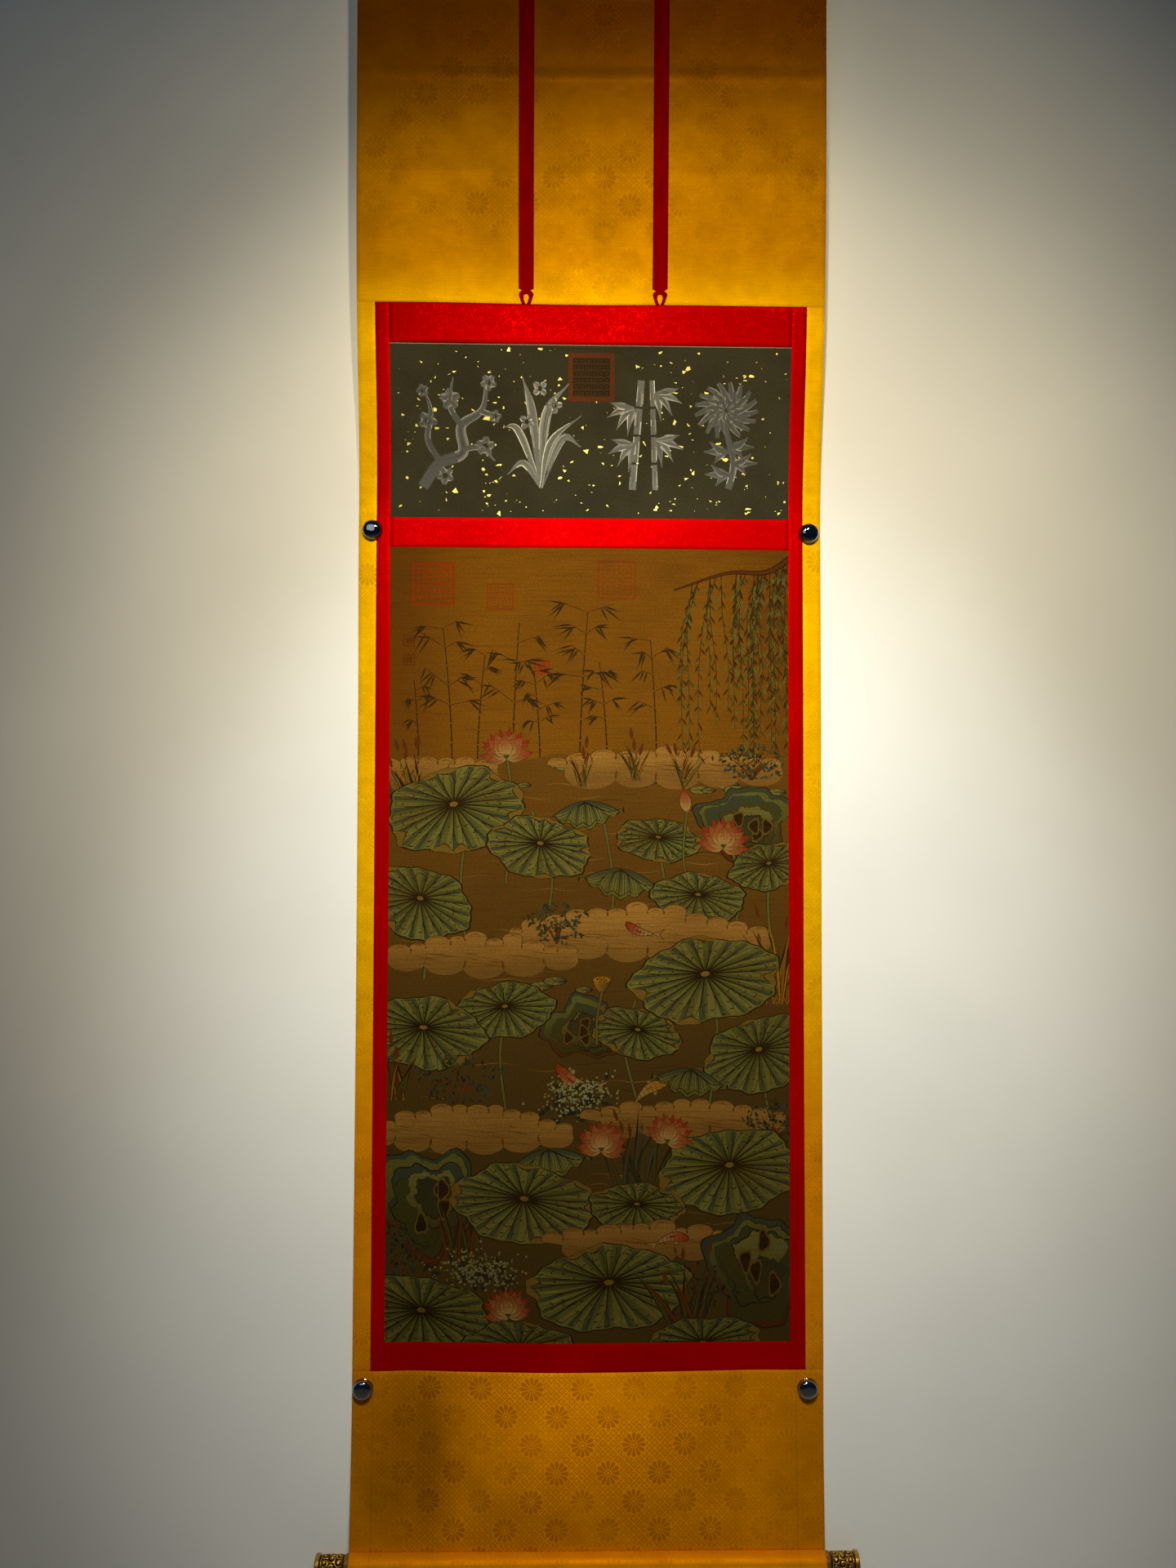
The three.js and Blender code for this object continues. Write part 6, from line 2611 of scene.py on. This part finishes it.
@dataclass(frozen=True)
class Ribbon:
    """A ribbon that lies down the head, with a notched and pierced end, in millimetres."""

    name: str
    node: str
    top_x: float
    end_x: float
    top_down: float = 1.0
    end_down: float = 424.3
    width: float = 18.8
    thickness: float = 0.9
    clearance: float = 0.06
    cell: float = 6.0
    tail: float = 19.2

    def half_outline(self) -> list[tuple[float, float]]:
        """Right half of the tail's outer edge, as places across and up from its end."""
        def bend(start: tuple, handle: tuple, end: tuple, steps: int = 7) -> list[tuple[float, float]]:
            """Points of a curve that leans to one handle."""
            return [tuple((1 - t) ** 2 * a + 2 * t * (1 - t) * b + t * t * c
                          for a, b, c in zip(start, handle, end))
                    for t in np.linspace(0, 1, steps + 1)[1:]]

        half = self.width / 2
        upper = bend((4.6, 16.4), (9.1, 14.4), (9.1, 11.6))
        lower = bend((9.1, 11.6), (8.1, 7.6), (5.2, 0.0))
        return [(half, self.tail), (4.6, 16.4), *upper, *lower, (0.6, 0.0)]

    def opening(self) -> list[tuple[float, float]]:
        """Right side of the drop-shaped opening, from its mouth up to its tip."""
        start, low, high, end = (0.6, 0.0), (3.6, 4.8), (4.8, 12.3), (0.0, 12.3)
        return [tuple((1 - t) ** 3 * a + 3 * t * (1 - t) ** 2 * b + 3 * t * t * (1 - t) * c + t**3 * d
                      for a, b, c, d in zip(start, low, high, end)) for t in np.linspace(0, 1, 13)[1:]]

    def build(self, shop: Workshop) -> bpy.types.Object:
        """Args:
            shop: The workshop.

        Returns:
            The ribbon.
        """
        outer, inner = self.half_outline(), self.opening()
        right = outer + inner
        left = [(-x, up) for x, up in reversed(right[:-1])]
        loop = np.array(right + left)
        rows = np.arange(self.tail + self.cell, self.end_down - self.top_down - 1, self.cell)
        top = self.end_down - self.top_down
        upright = [(self.width / 2, up) for up in rows[::-1]] + [(-self.width / 2, up) for up in rows]
        outline = np.vstack([loop, upright[len(rows):], [(-self.width / 2, top), (self.width / 2, top)],
                             upright[:len(rows)]])
        count = len(outline)
        inside = ([(x, up) for up in rows for x in (-4.7, 0.0, 4.7)]
                  + [(x, up) for up in (14.6, 18.0) for x in (-3.0, 3.0)])
        points = [Vector(point) for point in np.vstack([outline, inside])]
        sides = [(i, (i + 1) % count) for i in range(count)]
        corners, _, faces, *_ = delaunay_2d_cdt(points, sides, [], 0, 1e-4, False)
        faces = np.array(faces)
        middles = np.array([(corner.x, corner.y) for corner in corners])[faces].mean(axis=1)
        shape = bmesh.new()
        verts = [shape.verts.new((corner.x, 0, corner.y - top)) for corner in corners]
        for face in faces[Sketch.inside(middles[:, 0], middles[:, 1], outline)]:
            shape.faces.new([verts[number] for number in face])
        bmesh.ops.scale(shape, vec=(MM, MM, MM), verts=shape.verts[:])
        bmesh.ops.solidify(shape, geom=shape.faces[:], thickness=self.thickness * MM)
        bmesh.ops.recalc_face_normals(shape, faces=shape.faces[:])
        shop.chart(shape)
        places = shop.corners(shape)
        places[:, 1] -= (places[:, 1].min() + places[:, 1].max()) / 2
        share = -places[:, 2] / (top * MM)
        places[:, 0] += (self.top_x + (self.end_x - self.top_x) * share) * MM
        places[:, 1] -= (0.6 + self.clearance + self.thickness / 2) * MM
        places[:, 2] -= self.top_down * MM
        shop.move(shape, shop.drape.hung(places))
        silk = shop.finishes.ribbon_silk
        piece = shop.place(self.name, shape, (silk,), self.node, "ribbon_silk")
        return piece


@dataclass(frozen=True)
class Turned:
    """A piece turned round the roller's axis: rows of radius and distance along it, in millimetres."""

    name: str
    node: str
    slot: str
    profile: tuple[tuple[float, float], ...]
    start: float
    side: int
    steps: int = 96

    def shape(self, axis: Vector, step: float = 0.0) -> bmesh.types.BMesh:
        """Turns the profile into a solid.

        Args:
            axis: Point of the roller's axis in the middle of its length, in metres.
            step: Greatest distance between two rings, or 0 for the profile's own.

        Returns:
            The solid.
        """
        rows = [self.profile[0]]
        for start, end in zip(self.profile, self.profile[1:]):
            count = (max(1, math.ceil(math.dist(start, end) / step))
                     if step and min(start[0], end[0]) > 11.3 else 1)
            rows += [tuple(point) for point in np.linspace(start, end, count + 1)[1:]]
        shape = spun([(along * MM, 0, radius * MM) for radius, along in rows], (1, 0, 0), self.steps, 1e-6)
        place = Matrix.Translation(axis) @ Matrix.Translation((self.side * self.start * MM, 0, 0))
        bmesh.ops.transform(shape, matrix=place @ Matrix.Diagonal((self.side, 1, 1, 1)),
                            verts=shape.verts[:])
        bmesh.ops.recalc_face_normals(shape, faces=shape.faces[:])
        return shape


@dataclass(frozen=True)
class Carving:
    """Low relief of curling scrolls round the knob, in millimetres."""

    low: float = 3.2
    high: float = 29.4
    radius: float = 12.0
    around: int = 8
    rows: int = 3
    height: float = 0.85

    def relief(self, angle: Points, along: Points) -> Points:
        """Height of the carving from 0 to 1.

        Args:
            angle: Angles round the axis.
            along: Distances along the knob.

        Returns:
            The heights.
        """
        cell = TURN * self.radius / self.around
        pitch = (self.high - self.low) / self.rows
        best = np.full(np.shape(angle), 1e9)
        swirl = np.zeros(np.shape(angle))
        for row in range(-1, self.rows + 1):
            for column in range(self.around):
                centre = (column + 0.5 * (row % 2)) * cell
                across = ((angle * self.radius - centre + cell * self.around / 2) % (cell * self.around)
                          - cell * self.around / 2)
                away_along = along - self.low - (row + 0.5) * pitch
                away = np.hypot(across, away_along)
                hand = 1 if (row + column) % 2 else -1
                phase = away / (cell * 0.25) * math.pi - hand * np.arctan2(away_along, across)
                nearer = away < best
                best = np.where(nearer, away, best)
                swirl = np.where(nearer, phase, swirl)
        scroll = 0.5 + 0.5 * np.cos(swirl)
        leaf = smoothstep(scroll, 0.25, 0.7) * (1 - smoothstep(best, cell * 0.5, cell * 0.64))
        heart = 1 - smoothstep(best, 0.7, 1.3)
        beads = 0.5 + 0.5 * np.cos(angle * 34)
        ends = np.minimum(along - self.low, self.high - along)
        field_of_scrolls = np.maximum(leaf, heart)
        return np.where(ends < 1.9, beads * smoothstep(ends, 0.1, 0.7) * (1 - smoothstep(ends, 1.4, 1.9)),
                        field_of_scrolls)


@dataclass(frozen=True)
class RollerEnds:
    """The wrapped roller with its rings and carved knobs."""

    radius: float = 14.5
    half_length: float = 289.5
    axis_off: float = 14.5
    axis_down: float = 1967.9
    gap: float = 0.3
    ring_length: float = 2.9
    ring_rim: float = 13.1
    ferrule: tuple[tuple[float, float], ...] = (
        (0, 0), (12.3, 0), (12.9, 0.15), (13.4, 0.75), (13.2, 1.2), (12.45, 1.5), (12.45, 1.7), (13.1, 1.95),
        (13.35, 2.35), (13.0, 2.8), (12.2, ring_length), (0, ring_length))
    knob: tuple[tuple[float, float], ...] = (
        (0, 0), (12.2, 0), (12.7, 0.8), (12.2, 1.6), (11.2, 2.2), (11.9, 3.2), (12.2, 15.6), (11.9, 29.4),
        (11.2, 30.2), (11.2, 31.2), (12.6, 31.4), (13.4, 31.7), (13.8, 32.3), (13.8, 35.6), (13.5, 36.4),
        (12.4, 36.9), (6.9, 37.4), (0, 37.4))
    carving: Carving = Carving()

    def build(self, shop: Workshop) -> None:
        """Turns and dresses the roller, rings and knobs.

        Args:
            shop: The workshop.
        """
        axis = Vector((0, shop.drape.y_of(self.axis_off), -self.axis_down)) * MM
        self.wrapped_roller(shop, axis)
        for side, word in ((-1, "left"), (1, "right")):
            ring = Turned(f"ring_{word}", f"ferrule_{word}", "pale_gilt", self.ferrule,
                          self.half_length + self.gap, side)
            shape = ring.shape(axis)
            self.soil(shape)
            shop.place(ring.name, shape, (shop.finishes.pale_gilt,), ring.node, ring.slot, 60)
            start = self.half_length + self.gap + self.ring_length + self.gap
            knob = Turned(f"carved_knob_{word}", f"knob_{word}", "gilt", self.knob, start, side, 256)
            self.carved_knob(shop, knob, axis)

    def soil(self, shape: bmesh.types.BMesh) -> None:
        """Writes how deep each corner of a ring lies in its grooves.

        Args:
            shape: The turned ring.
        """
        layer = shape.verts.layers.float.new(HOLLOW)
        centre_y = sum(vert.co.y for vert in shape.verts) / len(shape.verts)
        for vert in shape.verts:
            radius = math.hypot(vert.co.y - centre_y, vert.co.z + self.axis_down * MM) / MM
            vert[layer] = float(smoothstep(self.ring_rim - radius, 0.0, 0.6))

    def carved_knob(self, shop: Workshop, knob: Turned, axis: Vector) -> None:
        """Carves one knob and gives it its gilding.

        Args:
            shop: The workshop.
            knob: The knob to be carved.
            axis: Middle of the roller's axis, in metres.
        """
        shape = knob.shape(axis, 0.3)
        places = shop.corners(shape)
        along = np.abs(places[:, 0]) / MM - knob.start
        across, up = places[:, 1] - axis.y, places[:, 2] - axis.z
        radius, angle = np.hypot(across, up) / MM, np.arctan2(up, across)
        carved = (along > self.carving.low) & (along < self.carving.high) & (radius > 10)
        height = self.carving.relief(angle, along)
        grown = np.where(carved, 1 + (height - 0.6) * self.carving.height / np.maximum(radius, 1), 1.0)
        places[:, 1], places[:, 2] = axis.y + across * grown, axis.z + up * grown
        shop.move(shape, places)
        plain = 0.12 + 0.75 * smoothstep(12.0 - radius, 0.0, 0.7) * (radius > 10.5)
        hollow = np.where(carved, 1 - height, plain)
        layer = shape.verts.layers.float.new(HOLLOW)
        for vert, depth in zip(shape.verts, hollow):
            vert[layer] = float(depth)
        shop.place(knob.name, shape, (shop.finishes.gilt,), knob.node, knob.slot, 50)

    def wrapped_roller(self, shop: Workshop, axis: Vector) -> None:
        """Turns the roller and cuts the lip where its wrap meets the foot of the cloth.

        Args:
            shop: The workshop.
            axis: Middle of the roller's axis, in metres.
        """
        half = self.half_length
        rows = [(0, -half), (8, -half), (13.9, -half), (14.35, -half + 0.15), (self.radius, -half + 0.6)]
        rows += [(self.radius, x) for x in np.linspace(-half + 5, half - 5, 100)]
        rows += [(radius, -along) for radius, along in reversed(rows[:5])]
        roller = Turned("wrapped_roller", "roller", "gold_damask", tuple(rows), 0.0, 1, 240)
        shape = roller.shape(axis)
        places = shop.corners(shape)
        across, up = places[:, 1] - axis.y, places[:, 2] - axis.z
        radius = np.hypot(across, up) / MM
        angle = np.degrees(np.arctan2(-across, up))
        slot = smoothstep(angle, -16.5, -15.0) * (1 - smoothstep(angle, -7.6, -6.0))
        lip = 1 + 0.25 / self.radius * np.exp(-(((angle + 4.6) / 1.6) ** 2))
        grown = np.where(radius > 13, (1 - slot * 0.85 / self.radius) * lip, 1.0)
        places[:, 1], places[:, 2] = axis.y + across * grown, axis.z + up * grown
        layer = shape.loops.layers.uv.new(UV_MAP)
        for face in shape.faces:
            middle = face.calc_center_median() - axis
            for loop in face.loops:
                spot = loop.vert.co - axis
                turn = math.atan2(-spot.y, spot.z)
                if turn < -TURN / 4 and -middle.y > 0:
                    turn += TURN
                loop[layer].uv = (spot.x, -1.9534 - turn * self.radius * MM)
        shop.move(shape, places)
        shop.place(roller.name, shape, (shop.finishes.gold_damask,), roller.node, roller.slot, 50)


@dataclass(frozen=True)
class WallPin:
    """A domed chrome head that holds the cloth to the wall, in millimetres."""

    place: PinPlace
    radius: float = 12.8
    height: float = 10.0
    flange: float = 1.6
    groove: float = 12.1
    dome_start: float = 2.3
    shoulder: float = 2.8
    edge: float = 0.35
    clearance: float = 0.05
    steps: int = 72

    def build(self, shop: Workshop) -> None:
        """Turns the pin and sets it on the cloth.

        Args:
            shop: The workshop.
        """
        edge = self.edge
        rows = [(0, 0), (self.radius - edge, 0), (self.radius, edge), (self.radius, self.flange - edge),
                (self.radius - edge, self.flange), (self.groove + 0.15, self.flange + 0.1),
                (self.groove, self.flange + 0.35), (self.groove + 0.1, self.dome_start)]
        dome, power = self.height - self.dome_start, 2 / self.shoulder
        for angle in np.linspace(0, TURN / 4, 40)[1:]:
            rows.append(((self.groove + 0.1) * max(math.cos(angle), 0) ** power,
                         self.dome_start + dome * math.sin(angle) ** power))
        shape = spun([(radius * MM, -out * MM, 0) for radius, out in rows], (0, 1, 0), self.steps, 2e-6)
        off = shop.drape.pinned_off + 0.6 + self.clearance
        seat = Vector((self.place.x, shop.drape.y_of(off), -self.place.down)) * MM
        bmesh.ops.translate(shape, verts=shape.verts[:], vec=seat)
        bmesh.ops.recalc_face_normals(shape, faces=shape.faces[:])
        name = self.place.name.replace("pin_", "chrome_pin_")
        shop.place(name, shape, (shop.finishes.chrome,), self.place.name, "chrome", 55)


@dataclass(frozen=True)
class Viewpoint:
    """Where the photograph was taken from, in millimetres and radians."""

    place: tuple[float, float, float] = (-24.1, -1426.4, -1063.0)
    pitch: float = 0.0304
    yaw: float = -0.0148
    roll: float = -0.0028
    lens: float = 27.06
    sensor: float = 36.0

    def build(self) -> None:
        """Sets up the camera."""
        camera = bpy.data.cameras.new("view")
        camera.lens, camera.sensor_width = self.lens, self.sensor
        holder = bpy.data.objects.new("view", camera)
        bpy.context.scene.collection.objects.link(holder)
        bpy.context.scene.camera = holder
        placed = Matrix.Translation(Vector(self.place) * MM)
        for angle, axis in ((self.yaw, "Z"), (self.pitch, "X"), (self.roll, "Y"), (TURN / 4, "X")):
            placed = placed @ Matrix.Rotation(angle, 4, axis)
        holder.matrix_world = placed


@dataclass(frozen=True)
class Lamp:
    """A soft-edged spot lamp, in metres, watts and radians."""

    name: str
    place: tuple[float, float, float]
    aim: tuple[float, float, float]
    power: float
    colour: Colour
    half_angle: float
    radius: float = 0.06


@dataclass(frozen=True)
class Studio:
    """A plain wall and floor with soft spot lamps in front and weak light from all round."""

    lamps: tuple[Lamp, ...] = (
        Lamp("key", (-0.1, -1.3, -0.1), (0.08, 0.05, -0.925), 69.5, (1.0, 0.88, 0.65), 0.578),
        Lamp("low", (0.0, -1.2, -0.05), (0.085, 0.05, -1.31), 77.0, (0.84, 0.93, 1.0), 0.434),
        Lamp("high", (0.38, -1.6, 0.1), (0.063, 0.05, -0.9), 48.0, (1.0, 0.88, 0.62), 0.673),
    )
    middle: tuple[float, float, float] = (0.0, 0.0, -0.9)
    back_place: tuple[float, float, float] = (0.5, 1.9, 0.2)
    back_size: float = 1.4
    back_power: float = 10.0
    panel_place: tuple[float, float, float] = (-0.9, -2.4, 0.15)
    panel_size: tuple[float, float] = (1.4, 1.0)
    panel_power: float = 4.4
    panel_colour: Colour = (0.9, 0.95, 1.0)
    sky_colour: Colour = (0.3, 0.6, 1.0)
    low_light: tuple[float, float] = (-0.2, 0.02)
    high_light: tuple[float, float] = (0.8, 0.05)
    backdrop: Colour = (0.6, 0.62, 0.64)
    flat_size: tuple[float, float] = (7.0, 5.0)
    wall_y: float = 0.0505
    floor_z: float = -2.2

    def build(self) -> None:
        """Sets up the lamps, the world, the wall and the floor."""
        bpy.context.scene.view_settings.view_transform = "Standard"
        self.light()
        self.world()
        self.flats()

    @staticmethod
    def hang(kind: str, name: str, place: Sequence[float], aim: Sequence[float],
             power: float) -> bpy.types.Light:
        """Hangs a lamp.

        Args:
            kind: Blender's name of its type.
            name: Its name.
            place: Where it hangs, in metres.
            aim: What it points at, in metres.
            power: Its power in watts.

        Returns:
            The lamp.
        """
        light = bpy.data.lights.new(name, kind)
        light.energy = power
        holder = bpy.data.objects.new(name, light)
        holder.location = place
        holder.rotation_euler = (Vector(aim) - Vector(place)).to_track_quat("-Z", "Y").to_euler()
        bpy.context.scene.collection.objects.link(holder)
        return light

    def light(self) -> None:
        """Hangs the spot lamps in front and the wide lamp behind."""
        for lamp in self.lamps:
            spot = self.hang("SPOT", lamp.name, lamp.place, lamp.aim, lamp.power)
            spot.spot_size, spot.spot_blend, spot.shadow_soft_size = 2 * lamp.half_angle, 1.0, lamp.radius
            spot.color = lamp.colour
        panel = self.hang("AREA", "panel", self.panel_place, self.middle, self.panel_power)
        panel.shape, panel.color = "RECTANGLE", self.panel_colour
        panel.size, panel.size_y = self.panel_size
        back = self.hang("AREA", "back", self.back_place, (0.0, 0.0, -1.0), self.back_power)
        back.shape, back.size = "SQUARE", self.back_size

    def world(self) -> None:
        """Pale surroundings with dark and bright parts for the mirrored pins to show."""
        world = bpy.data.worlds.new("surroundings")
        bpy.context.scene.world = world
        world.use_nodes = True
        tree = world.node_tree
        nodes, join = tree.nodes, tree.links.new
        background = nodes["Background"]
        background.inputs["Color"].default_value = (*self.sky_colour, 1.0)
        parts, ramp = nodes.new("ShaderNodeSeparateXYZ"), nodes.new("ShaderNodeMapRange")
        join(nodes.new("ShaderNodeTexCoord").outputs["Generated"], parts.inputs[0])
        join(parts.outputs[2], ramp.inputs["Value"])
        for end, (height, light) in (("Min", self.low_light), ("Max", self.high_light)):
            ramp.inputs[f"From {end}"].default_value = height
            ramp.inputs[f"To {end}"].default_value = light
        strength, tint = nodes.new("ShaderNodeMix"), nodes.new("ShaderNodeMix")
        seen = nodes.new("ShaderNodeLightPath").outputs["Is Camera Ray"]
        join(seen, strength.inputs["Factor"])
        join(ramp.outputs[0], strength.inputs["A"])
        strength.inputs["B"].default_value = 1.0
        join(strength.outputs[0], background.inputs["Strength"])
        tint.data_type = "RGBA"
        join(seen, tint.inputs[0])
        tint.inputs[6].default_value = (*self.sky_colour, 1.0)
        tint.inputs[7].default_value = (*self.backdrop, 1.0)
        join(tint.outputs[2], background.inputs["Color"])

    def flats(self) -> None:
        """Puts up the wall and lays the floor."""
        for name, colour, spot, turn, one_sided in (
            ("wall", srgb(238, 236, 228), (0, self.wall_y, -1.0), TURN / 4, True),
            ("floor", srgb(196, 192, 184), (0, self.wall_y - self.flat_size[1] / 2, self.floor_z), 0.0,
             False),
        ):
            shape = bmesh.new()
            placed = Matrix.Rotation(turn, 4, "X") @ Matrix.Diagonal((*self.flat_size, 1, 1))
            bmesh.ops.create_grid(shape, x_segments=1, y_segments=1, size=0.5, matrix=placed)
            bmesh.ops.translate(shape, verts=shape.verts[:], vec=spot)
            mesh = bpy.data.meshes.new(name)
            shape.to_mesh(mesh)
            shape.free()
            mesh.materials.append(StageFinish(name, colour, one_sided).material())
            flat = bpy.data.objects.new(name, mesh)
            flat.visible_shadow = not one_sided
            bpy.context.scene.collection.objects.link(flat)


def main() -> None:
    """Builds and dresses the scroll in its studio."""
    logging.basicConfig(level=logging.INFO, format="%(name)s: %(message)s")
    Viewpoint().build()
    Studio().build()
    shop = Workshop(Finishes())
    Mounting(shop.pattern).build(shop)
    pattern = shop.pattern
    heading = Cut(Line.INNER_LEFT, Line.INNER_RIGHT, pattern.heading_top, pattern.heading_foot)
    painting = Cut(Line.INNER_LEFT, Line.INNER_RIGHT, pattern.painting_top, pattern.painting_foot)
    Panel("heading_paper", "heading_panel", "dark_paper", heading, ("red_cloth_top",)).build(
        shop, FleckedHeading().sketch(), shop.finishes.dark_paper)
    Panel("painting_silk", "painting_panel", "painted_silk", painting, ("red_cloth_middle",)).build(
        shop, LotusPond().sketch(), shop.finishes.painted_silk)
    Ribbon("ribbon_cloth_left", "ribbon_left", -81.3, -81.1).build(shop)
    Ribbon("ribbon_cloth_right", "ribbon_right", 86.2, 84.7).build(shop)
    RollerEnds().build(shop)
    for place in PIN_PLACES:
        WallPin(place).build(shop)


if __name__ == "__main__":
    main()
